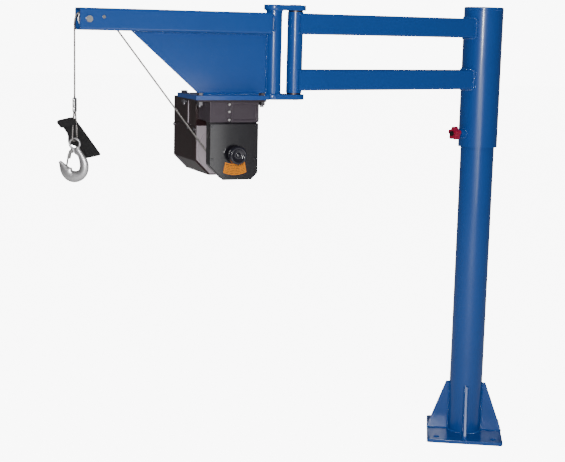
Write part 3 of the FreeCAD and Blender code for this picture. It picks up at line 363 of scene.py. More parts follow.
MATERIALS = {}
FINISHES = {
    "enamel": ("Blue enamel", (0.004, 0.072, 0.33), dict(
        tone=0.16, dust_amount=0.05, roughness=0.34, scuffs=0.25, grain=330.0, bump=0.06, coat=0.55,
        coat_roughness=0.12, wear=0.35, worn_color=(0.006, 0.03, 0.09))),
    "weld": ("Painted weld", (0.005, 0.078, 0.34), dict(
        tone=0.2, dust_amount=0.05, roughness=0.22, scuffs=0.1, grain=900.0, bump=0.15, coat=0.9,
        coat_roughness=0.08)),
    "cover paint": ("Cover black", (0.006, 0.005, 0.009), dict(
        tone=0.5, dust_amount=0.04, roughness=0.30, scuffs=0.3, grain=1200.0, bump=0.05, coat=0.9,
        coat_roughness=0.10, wear=0.3, worn_color=(0.12, 0.10, 0.12))),
    "winch paint": ("Winch black", (0.022, 0.012, 0.018), dict(
        tone=0.5, dust_amount=0.10, roughness=0.42, scuffs=0.4, grain=1400.0, bump=0.22, coat=0.25,
        coat_roughness=0.3, wear=0.25, worn_color=(0.10, 0.08, 0.09))),
    "casing paint": ("Casing brown black", (0.018, 0.005, 0.006), dict(
        tone=0.6, dust_amount=0.05, roughness=0.34, scuffs=0.4, grain=900.0, bump=0.16, coat=0.3,
        coat_roughness=0.25, wear=0.3, worn_color=(0.08, 0.06, 0.06))),
    "frame paint": ("Frame grey", (0.050, 0.036, 0.050), dict(
        tone=0.5, dust_amount=0.10, roughness=0.42, scuffs=0.4, grain=1100.0, bump=0.2, coat=0.2,
        coat_roughness=0.3, wear=0.4, worn_color=(0.32, 0.28, 0.32))),
    "cast grey": ("Cast aluminium", (0.52, 0.46, 0.50), dict(
        dust=(0.25, 0.20, 0.22), tone=0.35, dust_amount=0.3, roughness=0.5, scuffs=0.3, grain=600.0, bump=0.35,
        metal=0.35)),
    "dark zinc": ("Dark zinc", (0.22, 0.21, 0.23), dict(
        dust=(0.05, 0.05, 0.06), tone=0.4, dust_amount=0.3, roughness=0.28, scuffs=0.4, grain=800.0, bump=0.12,
        metal=0.9)),
    "knob gloss": ("Glossy black plastic", (0.016, 0.015, 0.024), dict(
        tone=0.3, dust_amount=0.04, roughness=0.16, scuffs=0.3, grain=700.0, bump=0.03, coat=0.6,
        coat_roughness=0.06)),
    "black plastic": ("Black plastic", (0.012, 0.011, 0.013), dict(
        tone=0.3, dust_amount=0.05, roughness=0.3, grain=700.0, bump=0.08)),
    "red plastic": ("Crimson plastic", (0.42, 0.006, 0.045), dict(
        tone=0.2, dust_amount=0.06, roughness=0.3, grain=500.0, bump=0.06, coat=0.3)),
    "zinc": ("Zinc plate", (0.62, 0.61, 0.60), dict(
        dust=(0.2, 0.18, 0.16), tone=0.35, dust_amount=0.3, roughness=0.32, scuffs=0.5, grain=800.0, bump=0.12,
        metal=1.0)),
    "forged": ("Galvanised forging", (0.66, 0.65, 0.66), dict(
        dust=(0.12, 0.10, 0.11), tone=0.5, dust_amount=0.45, roughness=0.36, scuffs=0.4, grain=260.0, bump=0.3,
        metal=0.9)),
    "steel": ("Machined steel", (0.50, 0.49, 0.48), dict(
        tone=0.25, dust_amount=0.2, roughness=0.3, scuffs=0.3, grain=1500.0, bump=0.08, metal=1.0)),
    "rope": ("Wire rope", (0.34, 0.32, 0.31), dict(
        dust=(0.08, 0.07, 0.06), tone=0.4, dust_amount=0.5, roughness=0.38, scuffs=0.2, grain=2200.0, bump=0.2,
        metal=0.85)),
    "bronze": ("Bronze", (0.12, 0.085, 0.05), dict(tone=0.3, roughness=0.4, grain=900.0, metal=1.0)),
    "aluminium": ("Pressed aluminium", (0.80, 0.80, 0.80), dict(
        tone=0.2, dust_amount=0.2, roughness=0.25, grain=500.0, bump=0.1, metal=1.0)),
    "label": ("Orange film", (0.90, 0.27, 0.0), dict(
        dust=(0.25, 0.08, 0.01), tone=0.25, dust_amount=0.25, roughness=0.42, grain=700.0, bump=0.05,
        specular=0.2)),
    "label ink": ("Label ink", (0.10, 0.045, 0.01), dict(tone=0.1, roughness=0.45)),
    "webbing": ("Black webbing", (0.0075, 0.0068, 0.008), dict(
        dust=(0.06, 0.055, 0.06), tone=0.5, dust_amount=0.35, roughness=0.62, scuffs=0.3, grain=1800.0,
        bump=0.25)),
}


def build_materials():
    GROUPS["patina"] = build_patina_group()
    GROUPS["edge"] = build_edge_group()
    for key, (name, color, look) in FINISHES.items():
        MATERIALS[key] = finish_material(name, color, **look)
    add_weave(MATERIALS["webbing"])


def add_weave(material):
    """Warp ribs along the strap and picks across it, on the piece's own UV map, over the patina's bump."""
    graph = Graph(material.node_tree)
    shader = material.node_tree.nodes["Principled BSDF"]
    flat = graph.add("ShaderNodeUVMap", {"uv_map": "Weave"}).outputs["UV"]
    ribs, picks = (graph.add("ShaderNodeTexWave", {"wave_type": "BANDS", "bands_direction": way},
                             Vector=flat, Scale=scale) for way, scale in (("X", 0.42), ("Y", 0.62)))
    cloth = graph.math("MULTIPLY", ribs.outputs["Fac"], picks.outputs["Fac"])
    patina_bump = next(node for node in material.node_tree.nodes if node.bl_idname == "ShaderNodeBump")
    weave = graph.add("ShaderNodeBump", Strength=0.8, Distance=0.0005)
    graph.feed(weave.inputs["Height"], cloth)
    graph.feed(weave.inputs["Normal"], patina_bump.outputs["Normal"])
    graph.feed(shader.inputs["Normal"], weave.outputs["Normal"])
    shader.inputs["Sheen Weight"].default_value = 0.2
    shader.inputs["Sheen Roughness"].default_value = 0.4


# ------------------------------------------------------------------ mesh helpers
def add_object(name, mesh, material, body, replaced=()):
    """A finished piece: its material, the body it rides on and the CAD nodes it stands for."""
    piece = bpy.data.objects.new(name, mesh)
    bpy.context.scene.collection.objects.link(piece)
    if material is not None:
        mesh.materials.clear()
        mesh.materials.append(MATERIALS[material])
    if replaced:
        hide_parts(*replaced)
    if body:
        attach(piece, body)
    return piece


def new_mesh(name, vertices, faces, edges=()):
    mesh = bpy.data.meshes.new(name)
    mesh.from_pydata(vertices, edges, faces)
    return mesh


@contextmanager
def edited(mesh):
    """A mesh opened for editing, and written back at the end."""
    shape = bmesh.new()
    shape.from_mesh(mesh)
    yield shape
    shape.to_mesh(mesh)
    shape.free()


def evaluated_mesh(source):
    """An object's plain mesh with its modifiers applied; the object itself is removed."""
    bpy.context.scene.collection.objects.link(source)
    bpy.context.view_layer.update()
    mesh = bpy.data.meshes.new_from_object(source.evaluated_get(bpy.context.evaluated_depsgraph_get()))
    bpy.data.objects.remove(source)
    return mesh


def ring_faces(steps, sides):
    """Quads between rings of points, each ring joined to the next."""
    quads = []
    for first in range(0, steps * sides, sides):
        for k in range(sides):
            after = (k + 1) % sides
            quads.append((first + k, first + after, first + sides + after, first + sides + k))
    return quads


def end_faces(steps, sides):
    """The two faces that close a row of rings."""
    return [tuple(reversed(range(sides))), tuple(range(steps * sides, (steps + 1) * sides))]


def shade(mesh, angle=35):
    """Smooth shading that stays sharp at edges steeper than the angle."""
    mesh.shade_smooth()
    mesh.set_sharp_from_angle(angle=math.radians(angle))


BROAD_FACE = 0.0004


def softened(node, width, material, body, segments=2, name=None):
    """A copy of a CAD node with its edges rounded, in its place."""
    copy = frame["nodes"][node].data.copy()
    with edited(copy) as shape:
        bmesh.ops.remove_doubles(shape, verts=shape.verts, dist=1e-6)
        bmesh.ops.dissolve_limit(shape, angle_limit=math.radians(1), verts=shape.verts, edges=shape.edges)
        sharp = [edge for edge in shape.edges
                 if len(edge.link_faces) == 2 and edge.calc_face_angle(0) > math.radians(30)]
        bmesh.ops.bevel(shape, geom=sharp, offset=width * MM, segments=segments, profile=0.5, affect="EDGES",
                        clamp_overlap=True)
        bmesh.ops.recalc_face_normals(shape, faces=shape.faces)
    shade(copy)
    for face in copy.polygons:
        if face.area > BROAD_FACE or len(face.vertices) > 4:
            face.use_smooth = False
    return add_object(name or node + "_finished", copy, material, body, (node,))


def tube_mesh(name, points, radius, lobes, lay, sides, depth):
    """A tube of twisted strands through points; the strands turn once in a lay of that many millimetres."""
    count = len(points)
    vertices = []
    travelled = 0.0
    normal = None
    for i, point in enumerate(points):
        ahead = points[min(i + 1, count - 1)] - points[max(i - 1, 0)]
        tangent = ahead.normalized()
        if normal is None:
            side = Vector((0, 1, 0)) if abs(tangent.y) < 0.9 else Vector((1, 0, 0))
            normal = tangent.cross(side).normalized()
        else:
            travelled += (point - points[i - 1]).length
            normal = (normal - tangent * normal.dot(tangent)).normalized()
        binormal = tangent.cross(normal)
        twist = travelled / (lay * MM) * 2 * math.pi
        for k in range(sides):
            angle = 2 * math.pi * k / sides
            reach = radius * (1 - depth * (0.5 - 0.5 * math.cos(lobes * angle)))
            turn = angle + twist
            vertices.append(point + (normal * math.cos(turn) + binormal * math.sin(turn)) * reach)
    mesh = new_mesh(name, vertices, ring_faces(count - 1, sides) + end_faces(count - 1, sides))
    mesh.shade_smooth()
    return mesh


def nurbs_points(name, controls, resolution=24):
    """Points read from a NURBS spline through control points."""
    curve = bpy.data.curves.new(name, "CURVE")
    curve.dimensions = "3D"
    curve.resolution_u = resolution
    spline = curve.splines.new("NURBS")
    spline.points.add(len(controls) - 1)
    for point, co in zip(spline.points, controls):
        point.co = (*co, 1)
    spline.order_u = 3
    spline.use_endpoint_u = True
    mesh = evaluated_mesh(bpy.data.objects.new(name, curve))
    points = [vertex.co.copy() for vertex in mesh.vertices]
    bpy.data.meshes.remove(mesh)
    return points


def spaced(points, step):
    """The same line with points a fixed step apart."""
    result = [points[0].copy()]
    carried = 0.0
    for a, b in zip(points, points[1:]):
        length = (b - a).length
        while carried + length >= step and length > 0:
            a = a + (b - a) * ((step - carried) / length)
            length = (b - a).length
            carried = 0.0
            result.append(a.copy())
        carried += length
    if (result[-1] - points[-1]).length > step * 0.3:
        result.append(points[-1].copy())
    return result


# ------------------------------------------------------------------ geometry node trees
class Sculpt(Graph):
    """Short ways to build a Geometry Nodes tree with named inputs."""

    def __init__(self, name, inputs):
        tree = bpy.data.node_groups.new(name, "GeometryNodeTree")
        super().__init__(tree)
        tree.interface.new_socket(name="Geometry", in_out="INPUT", socket_type="NodeSocketGeometry")
        self.names = {}
        for label, kind, value in inputs:
            socket = tree.interface.new_socket(name=label, in_out="INPUT", socket_type="NodeSocket" + kind)
            if value is not None:
                socket.default_value = value
            self.names[label] = socket.identifier
        tree.interface.new_socket(name="Geometry", in_out="OUTPUT", socket_type="NodeSocketGeometry")
        self.given = tree.nodes.new("NodeGroupInput").outputs
        self.leave = tree.nodes.new("NodeGroupOutput")

    def close(self, geometry):
        """Ends the tree in Realize Instances and Set Material."""
        real = self.add("GeometryNodeRealizeInstances", Geometry=geometry)
        dressed = self.add("GeometryNodeSetMaterial", Geometry=real.outputs[0])
        self.feed(dressed.inputs["Material"], self.given["Material"])
        self.feed(self.leave.inputs[0], dressed.outputs[0])
        return self


def sculpted(name, data, tree, values):
    """Runs a tree on an object's data and returns the result as a plain mesh."""
    source = bpy.data.objects.new(name, data)
    modifier = source.modifiers.new("Build", "NODES")
    modifier.node_group = tree.tree
    for label, value in values.items():
        modifier[tree.names[label]] = value
    return evaluated_mesh(source)


def build_weld_tree():
    """A row of overlapping ripples along a line: the stacked puddles of a weld bead."""
    tree = Sculpt("Weld bead", [("Radius", "Float", 0.003), ("Spacing", "Float", 0.0016),
                                ("Unevenness", "Float", 0.18), ("Seed", "Int", 1),
                                ("Material", "Material", None)])
    line = tree.add("GeometryNodeMeshToCurve", Mesh=tree.given["Geometry"])
    even = tree.add("GeometryNodeResampleCurve", {"mode": "LENGTH"}, Curve=line.outputs[0])
    tree.feed(even.inputs["Length"], tree.given["Spacing"])
    ripple = tree.add("GeometryNodeMeshIcoSphere", Radius=1.0, Subdivisions=2)
    tangent = tree.add("GeometryNodeInputTangent")
    facing = tree.add("FunctionNodeAlignEulerToVector", {"axis": "X"})
    tree.feed(facing.inputs["Vector"], tangent.outputs[0])
    low = tree.math("SUBTRACT", 1.0, tree.given["Unevenness"])
    high = tree.math("ADD", 1.0, tree.given["Unevenness"])
    size = tree.add("FunctionNodeRandomValue", {"data_type": "FLOAT"})
    tree.feed(size.inputs[2], low)
    tree.feed(size.inputs[3], high)
    tree.feed(size.inputs["Seed"], tree.given["Seed"])
    reach = tree.math("MULTIPLY", size.outputs[1], tree.given["Radius"])
    thin = tree.math("MULTIPLY", reach, 0.62)
    scale = tree.add("ShaderNodeCombineXYZ")
    tree.feed(scale.inputs["X"], thin)
    tree.feed(scale.inputs["Y"], reach)
    tree.feed(scale.inputs["Z"], reach)
    placed = tree.add("GeometryNodeInstanceOnPoints", Points=even.outputs[0], Instance=ripple.outputs[0])
    tree.feed(placed.inputs["Rotation"], facing.outputs[0])
    tree.feed(placed.inputs["Scale"], scale.outputs[0])
    smooth = tree.add("GeometryNodeSetShadeSmooth", Geometry=placed.outputs[0])
    return tree.close(smooth.outputs[0])


def line_mesh(name, lines):
    """A mesh of open or closed lines; a line whose last point is its first is closed."""
    vertices = []
    edges = []
    for line in lines:
        start = len(vertices)
        closed = (line[0] - line[-1]).length < 1e-7
        points = line[:-1] if closed else line
        vertices.extend(points)
        edges.extend((start + i, start + i + 1) for i in range(len(points) - 1))
        if closed:
            edges.append((start + len(points) - 1, start))
    return new_mesh(name, vertices, [], edges)


TREES = {}


def weld(name, body, lines, radius=3.2, spacing=1.9, seed=1):
    """Weld beads along lines, as one piece on a body."""
    mesh = sculpted(name, line_mesh(name, lines), TREES["weld"],
                    {"Radius": radius * MM, "Spacing": spacing * MM, "Unevenness": 0.16, "Seed": seed,
                     "Material": MATERIALS["weld"]})
    return add_object(name, mesh, None, body)


# ------------------------------------------------------------------ the rope
ROPE_WIDTH = 0.0056
ROPE_STEP = 0.0022
FALL_OUT = 686
FALL_TOP = 1400
FALL_END = 1192
EYE_TURN = 60
EYE_SIDE = 9
EYE_NECK = 3.1
TIP_BEND = 32
WRAP_TURN = 25
HOOK_PLACE = BOOM.point(FALL_OUT, 0, 0)
EYE_ACROSS = Vector((math.cos(math.radians(EYE_TURN)), math.sin(math.radians(EYE_TURN)), 0))


def centre_of(node):
    """A node's middle, in millimetres out along the boom and up."""
    out, _, height = BOOM.span(node)
    return Vector(((out[0] + out[1]) / 2, (height[0] + height[1]) / 2))


def rope_tube(name, controls, body, nodes):
    """A rope of six twisted strands that follows a NURBS spline through control points."""
    line = spaced(nurbs_points(name + "_route", controls), ROPE_STEP)
    mesh = tube_mesh(name, line, ROPE_WIDTH / 2, lobes=6, lay=30, sides=24, depth=0.3)
    piece = add_object(name, mesh, "rope", body, nodes)
    return piece


def pulley_corner(centre, radius, start, end):
    """The control points that carry a rope round a pulley, from one angle to the other."""
    half = (end - start) / 2
    rest, leave = (centre + Vector((math.cos(turn), math.sin(turn))) * radius for turn in (start, end))
    middle = (start + end) / 2
    corner = centre + Vector((math.cos(middle), math.sin(middle))) * radius / math.cos(half)
    return rest, rest * 2 - corner, corner, leave * 2 - corner


def build_rope():
    """The rope from the drum over its idler and tip sheave, and the fall that hangs down to the hook."""
    drum, idler = (centre_of(node) for node in ("drum_spool", "idler_roller"))
    (out_low, out_high), _, _ = BOOM.span("rope_wraps")
    run_high = BOOM.span("rope_run")[2][1]
    crest = run_high - ROPE_WIDTH / MM / 2
    lay = (out_high - out_low) / 2 + 3.1
    pitch = crest - idler.y
    step = idler - drum
    climb = math.atan2(step.y, step.x) + math.asin((lay + pitch) / step.length)
    upright = math.pi / 2
    start, _, drum_corner, drum_leave = pulley_corner(drum, lay, climb - upright - math.radians(WRAP_TURN),
                                                      climb - upright)
    _, idler_meet, idler_corner, idler_leave = pulley_corner(idler, pitch, climb + upright, upright)
    route = [start, drum_corner, drum_leave, idler_meet, idler_corner, idler_leave,
             Vector((FALL_OUT - 2 * TIP_BEND, crest)), Vector((FALL_OUT, crest)),
             Vector((FALL_OUT, FALL_TOP))]
    rope_tube("Rope_run", [BOOM.point(spot.x, 0, spot.y) for spot in route], "boom", ("rope_run",))
    ferrule = build_ferrule()
    middle = (FALL_TOP + FALL_END) / 2
    ends = [BOOM.point(FALL_OUT, 0, level) for level in (FALL_TOP, middle, FALL_END)]
    fall = rope_tube("Rope_fall", ends, None, ("rope_fall",))
    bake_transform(fall)


def build_rope_eye():
    """The loop below the ferrule, opened like a drop round the hook's eye."""
    low, high = (corner[2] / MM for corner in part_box("rope_eye"))
    low += ROPE_WIDTH / MM / 2
    shape = [(-EYE_NECK, high), (-EYE_SIDE, low + 2 * EYE_SIDE), (-EYE_SIDE, low), (EYE_SIDE, low),
             (EYE_SIDE, low + 2 * EYE_SIDE), (EYE_NECK, high)]
    rope_tube("Rope_eye", [HOOK_PLACE + (EYE_ACROSS * side + UP * level) * MM for side, level in shape],
              "hook_block", ("rope_eye",))


def build_ferrule():
    """A pressed aluminium sleeve, flattened, with rounded ends and faint die marks round it."""
    low, high = (corner[2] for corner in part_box("ferrule"))
    deep = UP.cross(EYE_ACROSS)
    rings, sides = 40, 40
    half_width, half_depth = 0.0072, 0.0048
    vertices = []
    for i in range(rings + 1):
        share = i / rings
        swell = 0.70 + 0.30 * min(1.0, 2.2 * math.sqrt(max(0.0, math.sin(math.pi * share))))
        swell *= 1 - 0.06 * math.cos(3 * math.pi * share) ** 10
        for k in range(sides):
            turn = 2 * math.pi * k / sides
            wide = math.copysign(abs(math.cos(turn)) ** 0.75, math.cos(turn)) * half_width * swell
            thin = math.copysign(abs(math.sin(turn)) ** 0.75, math.sin(turn)) * half_depth * swell
            vertices.append(HOOK_PLACE + EYE_ACROSS * wide + deep * thin + UP * (low + (high - low) * share))
    mesh = new_mesh("Ferrule", vertices, ring_faces(rings, sides) + end_faces(rings, sides))
    shade(mesh, 50)
    return add_object("Ferrule_pressed", mesh, "aluminium", "hook_block", ("ferrule",))


def build_wraps():
    """Two layers of rope wound side by side on the drum."""
    (out_low, out_high), near, _ = BOOM.span("rope_wraps")
    centre = centre_of("rope_wraps")
    outer = (out_high - out_low) / 2 - ROPE_WIDTH / MM / 2
    pitch = 5.9
    per_turn = 60
    for name, radius, margin in (("Drum_turns_outer", outer, 3.2), ("Drum_turns_inner", outer - 4.9, 5.9)):
        turns = int((near[1] - near[0] - 2 * margin) / pitch)
        points = []
        for i in range(turns * per_turn + 1):
            turn = 2 * math.pi * i / per_turn
            points.append(BOOM.point(centre.x + radius * math.cos(turn),
                                     -turns * pitch / 2 + pitch * i / per_turn,
                                     centre.y + radius * math.sin(turn)))
        mesh = tube_mesh(name, points, ROPE_WIDTH / 2, lobes=6, lay=30, sides=14, depth=0.25)
        add_object(name, mesh, "rope", "drum", ("rope_wraps",))


# ------------------------------------------------------------------ welds
def circle_line(centre, radius, arm, height, count=72):
    turns = [math.radians(360 * i / count) for i in range(count + 1)]
    return arm.line(*((centre + radius * math.cos(turn), radius * math.sin(turn), height) for turn in turns))


def saddle_line(arm, pipe_out, radius, half, level, corner, toward):
    """The line where a square tube with rounded corners meets an upright round pipe."""
    line = []
    straight = half - corner
    outline = []
    for cx, cz, first in ((straight, straight, 0), (-straight, straight, 90), (-straight, -straight, 180),
                          (straight, -straight, 270)):
        for i in range(7):
            turn = math.radians(first + 15 * i)
            outline.append((cx + corner * math.cos(turn), cz + corner * math.sin(turn)))
    outline.append(outline[0])
    for (y0, z0), (y1, z1) in zip(outline, outline[1:]):
        steps = max(1, int(math.hypot(y1 - y0, z1 - z0) / 4))
        for i in range(steps):
            near = y0 + (y1 - y0) * i / steps
            lift = z0 + (z1 - z0) * i / steps
            depth = math.sqrt(max(0.0, radius ** 2 - near ** 2))
            line.append(arm.point(pipe_out + toward * depth, near, level + lift))
    line.append(line[0])
    return line


def build_link_welds():
    sleeve_radius = LINK.span("sleeve_tube")[1][1]
    knuckle = LINK.span("knuckle_pipe")
    knuckle_radius = knuckle[1][1]
    knuckle_out = (knuckle[0][0] + knuckle[0][1]) / 2
    at_sleeve = []
    at_knuckle = []
    for node in ("link_upper_tube", "link_lower_tube"):
        _, near, height = LINK.span(node)
        level = (height[0] + height[1]) / 2
        half = near[1]
        at_sleeve.append(saddle_line(LINK, 0, sleeve_radius + 0.8, half + 0.6, level, 7.5, 1))
        at_knuckle.append(saddle_line(LINK, knuckle_out, knuckle_radius + 0.8,
                                      min(half, knuckle_radius) - 0.3, level, 6, -1))
    weld("Weld_sleeve", "link", at_sleeve, 6.5, 4.2, 3)
    weld("Weld_knuckle", "link", at_knuckle, 5.5, 4.0, 5)

    cap_low = LINK.span("sleeve_cap")[2][0]
    rim = circle_line(0, sleeve_radius - 0.6, LINK, cap_low, count=120)
    weld("Weld_sleeve_cap", "link", [rim], 1.3, 1.3, 7)
    boss_low, boss_high = LINK.span("lock_boss")[2]
    boss_level = (boss_low + boss_high) / 2
    boss_radius = (boss_high - boss_low) / 2
    ring_line = []
    for i in range(61):
        turn = 2 * math.pi * i / 60
        near = (boss_radius + 0.8) * math.cos(turn)
        lift = (boss_radius + 0.8) * math.sin(turn)
        ring_line.append(LINK.point(math.sqrt(sleeve_radius ** 2 - near ** 2) + 0.6, near, boss_level + lift))
    ring_line[-1] = ring_line[0]
    weld("Weld_lock_boss", "link", [ring_line], 2.6, 1.8, 9)


def build_boom_welds():
    post = BOOM.span("hinge_post")
    post_out = (post[0][0] + post[0][1]) / 2
    post_radius = post[1][1]
    tube = BOOM.span("boom_tube")
    tube_level = (tube[2][0] + tube[2][1]) / 2
    tube_half = min(tube[1][1], post_radius) - 0.3
    saddle = saddle_line(BOOM, post_out, post_radius + 0.8, tube_half, tube_level, 6, 1)
    weld("Weld_boom_tube", "boom", [saddle], 3.4, 2.0, 11)
    (_, web_out), (_, side), (bottom, top) = BOOM.span("web_plate")
    touch = post_out + math.sqrt(post_radius ** 2 - side ** 2)
    bottom_end = web_corner_rows(bottom, 2)[-1][0]
    web_lines = []
    for near in (-side - 0.7, side + 0.7):
        web_lines.append(BOOM.line((touch + 0.8, near, bottom + 2), (touch + 0.8, near, top - 2)))
        web_lines.append(BOOM.line((touch + 2, near, bottom + 0.6), (bottom_end - 2, near, bottom + 0.6)))
        web_lines.append(BOOM.line((touch + 2, near, top - 0.6), (web_out - 6, near, top - 0.6)))
    weld("Weld_web", "boom", web_lines, 4.4, 4.2, 13)
    top_plate = BOOM.span("hinge_top_plate")[2]
    _, (_, plate_half), bottom_plate = BOOM.span("hinge_bottom_plate")
    rings = [circle_line(post_out, post_radius + 0.8, BOOM, level)
             for level in (top_plate[0] - 0.6, bottom_plate[1] + 0.6)]
    weld("Weld_hinge_post", "boom", rings, 2.8, 1.9, 15)
    pin_radius = BOOM.span("elbow_pin")[1][1]
    rings = [circle_line(0, pin_radius - 0.5, BOOM, level)
             for level in (top_plate[1] - 0.4, bottom_plate[0] + 0.4)]
    weld("Weld_pin", "boom", rings, 2.0, 1.6, 17)
    seat = BOOM.span("winch_plate")
    seat_out, seat_level = seat[0][0] - 0.2, seat[2][1] - 6.3
    bead = BOOM.line((seat_out, -plate_half, seat_level), (seat_out, plate_half, seat_level))
    weld("Weld_seat", "boom", [bead], 2.4, 1.9, 19)


def build_base_weld():
    (_, toe), _, (_, rise) = POST.span("gussets")
    radius = POST.span("post_tube")[1][1]
    base_top = POST.span("base_plate")[2][1]
    half = 5
    level = base_top + 0.8
    lines = [circle_line(0, radius + 1, POST, level, count=120)]
    for quarter in range(4):
        turn = Matrix.Rotation(math.pi / 2 * quarter, 3, "Z")
        beads = []
        for near in (-half - 0.8, half + 0.8):
            beads.append(POST.line((radius + 1.4, near, base_top + 4), (radius + 1.4, near, rise - 2)))
            beads.append(POST.line((radius + 4, near, level), (toe - 1, near, level)))
        beads.append(POST.line((toe + 0.3, -half, level), (toe + 0.3, half, level)))
        lines.extend([turn @ point for point in bead] for bead in beads)
    weld("Weld_base", "post", lines, 3.4, 2.2, 21)


def build_welds():
    TREES["weld"] = build_weld_tree()
    build_link_welds()
    build_boom_welds()
    build_base_weld()


def web_corner_rows(level, band):
    """The web plate's corners within a band of a level, as (out, near) pairs in order."""
    found = []
    for vertex in frame["nodes"]["web_plate"].data.vertices:
        if abs(vertex.co.z / MM - level) < band:
            local = vertex.co - BOOM.origin
            found.append((local.dot(BOOM.along) / MM, local.dot(BOOM.across) / MM))
    return sorted(found)


# ------------------------------------------------------------------ plates, tubes and plain materials
def build_steelwork():
    """Rounded copies of the plates, in blue enamel."""
    plates = (("base_plate", 1.6, "post"), ("gussets", 1.4, "post"), ("hinge_top_plate", 1.2, "boom"),
              ("hinge_bottom_plate", 1.2, "boom"), ("web_plate", 1.0, "boom"), ("winch_plate", 1.4, "boom"))
    for node, width, body in plates:
        softened(node, width, "enamel", body)


NODE_FINISH = {
    "enamel": ("post_tube", "post_cap", "sleeve_tube", "sleeve_cap", "lock_boss", "link_upper_tube",
               "link_lower_tube", "knuckle_pipe", "hinge_post", "boom_tube", "elbow_pin"),
    "winch paint": ("winch_bed",),
    "black plastic": ("knob_cap", "cable_gland"),
    "dark zinc": ("winch_bolts", "winch_nuts"),
    "zinc": ("sheave_bolt", "latch_pin", "lock_stud"),
    "cast grey": ("drum_spool",),
    "steel": ("drum_bearings", "ring_gear", "planet_carrier", "planet_gear_1", "planet_gear_2", "planet_gear_3",
              "drive_shaft", "motor_rotor", "motor_stator", "tip_sheave", "sheave_spacers", "idler_roller",
              "idler_pin"),
    "bronze": ("thrust_washer", "sleeve_bushes", "knuckle_bushes"),
    "label": ("warning_label",),
}


def finish_nodes():
    """Gives every CAD node that stays in view its own finish."""
    for material, nodes in NODE_FINISH.items():
        for node in nodes:
            piece = frame["nodes"][node]
            for slot in piece.material_slots:
                slot.material = MATERIALS[material]


# ------------------------------------------------------------------ screws
def build_screw_tree():
    """A round screw head on every vertex: a shoulder, a crown and a socket, facing one way."""
    tree = Sculpt("Screw heads", [("Radius", "Float", 0.004), ("Height", "Float", 0.0025),
                                  ("Socket", "Float", 0.5), ("Facing", "Vector", (0, 0, 1)),
                                  ("Material", "Material", None)])
    blank = tree.add("GeometryNodeMeshCylinder", {"fill_type": "NGON"}, Vertices=28)
    tree.feed(blank.inputs["Radius"], tree.given["Radius"])
    tree.feed(blank.inputs["Depth"], tree.given["Height"])
    shape = blank.outputs["Mesh"]
    top = blank.outputs["Top"]
    socket_depth = tree.math("MULTIPLY", tree.given["Height"], -0.7)
    shoulder = tree.math("MULTIPLY", tree.given["Height"], 0.30)
    crown = tree.math("MULTIPLY", tree.given["Height"], 0.15)
    steps = ((shoulder, 0.90), (crown, 0.86), (0.0, tree.given["Socket"]), (socket_depth, 0.96))
    for rise, share in steps:
        pushed = tree.add("GeometryNodeExtrudeMesh", {"mode": "FACES"}, Mesh=shape, Selection=top)
        tree.feed(pushed.inputs["Offset Scale"], rise)
        drawn = tree.add("GeometryNodeScaleElements", {"domain": "FACE"}, Geometry=pushed.outputs["Mesh"],
                         Selection=pushed.outputs["Top"])
        tree.feed(drawn.inputs["Scale"], share)
        shape, top = drawn.outputs[0], pushed.outputs["Top"]
    facing = tree.add("FunctionNodeAlignEulerToVector", {"axis": "Z"})
    tree.feed(facing.inputs["Vector"], tree.given["Facing"])
    spots = tree.add("GeometryNodeMeshToPoints", Mesh=tree.given["Geometry"])
    placed = tree.add("GeometryNodeInstanceOnPoints", Points=spots.outputs[0], Instance=shape)
    tree.feed(placed.inputs["Rotation"], facing.outputs[0])
    return tree.close(placed.outputs[0])


def screws(name, spots, facing, radius, height, material, body="boom", socket=0.5):
    """Screw heads at places in the row frame, as one piece."""
    source = bpy.data.meshes.new(name)
    source.from_pydata(spots, [], [])
    mesh = sculpted(name, source, TREES["screw"],
                    {"Radius": radius * MM, "Height": height * MM, "Socket": socket, "Facing": facing,
                     "Material": MATERIALS[material]})
    shade(mesh, 30)
    return add_object(name, mesh, None, body)


# ------------------------------------------------------------------ the winch
def lathe(name, profile, centre, axis, side, lobes=0, lobe_depth=0.0, grip=(0, 0), count=96):
    """A turned mesh from (radius, forward) points in millimetres; points inside grip get shallow lobes."""
    axis = Vector(axis).normalized()
    side = Vector(side).normalized()
    other = axis.cross(side)
    vertices = []
    for radius, forward in profile:
        for k in range(count):
            turn = 2 * math.pi * k / count
            reach = radius
            if grip[0] <= forward <= grip[1] and radius > 0:
                reach -= lobe_depth * (0.5 + 0.5 * math.cos(lobes * turn)) ** 3
            vertices.append(centre + (side * math.cos(turn) * reach + other * math.sin(turn) * reach
                                      + axis * forward) * MM)
    mesh = new_mesh(name, vertices, ring_faces(len(profile) - 1, count))
    with edited(mesh) as shape:
        bmesh.ops.remove_doubles(shape, verts=shape.verts, dist=1e-6)
        bmesh.ops.holes_fill(shape, edges=shape.edges)
        bmesh.ops.recalc_face_normals(shape, faces=shape.faces)
    shade(mesh, 40)
    return mesh


def smooth_profile(corners, rounds=2):
    """A profile with its corners cut twice, so that it turns softly; its two ends stay."""
    points = [Vector(corner) for corner in corners]
    for _ in range(rounds):
        cut = [points[0]]
        for a, b in zip(points, points[1:]):
            cut.extend((a.lerp(b, 0.25), a.lerp(b, 0.75)))
        cut.append(points[-1])
        points = cut
    return [tuple(point) for point in points]


def build_winch_casings():
    """The winch's cast and pressed parts with rounded edges, each in its own finish."""
    casings = (("gear_cover", 1.8, "cover paint"), ("gear_case", 1.6, "cover paint"),
               ("winch_frame", 1.2, "frame paint"), ("end_frame", 1.2, "cast grey"),
               ("motor_housing", 2.2, "casing paint"), ("motor_saddle", 1.8, "casing paint"))
    for node, width, finish in casings:
        softened(node, width, finish, "boom", segments=3)


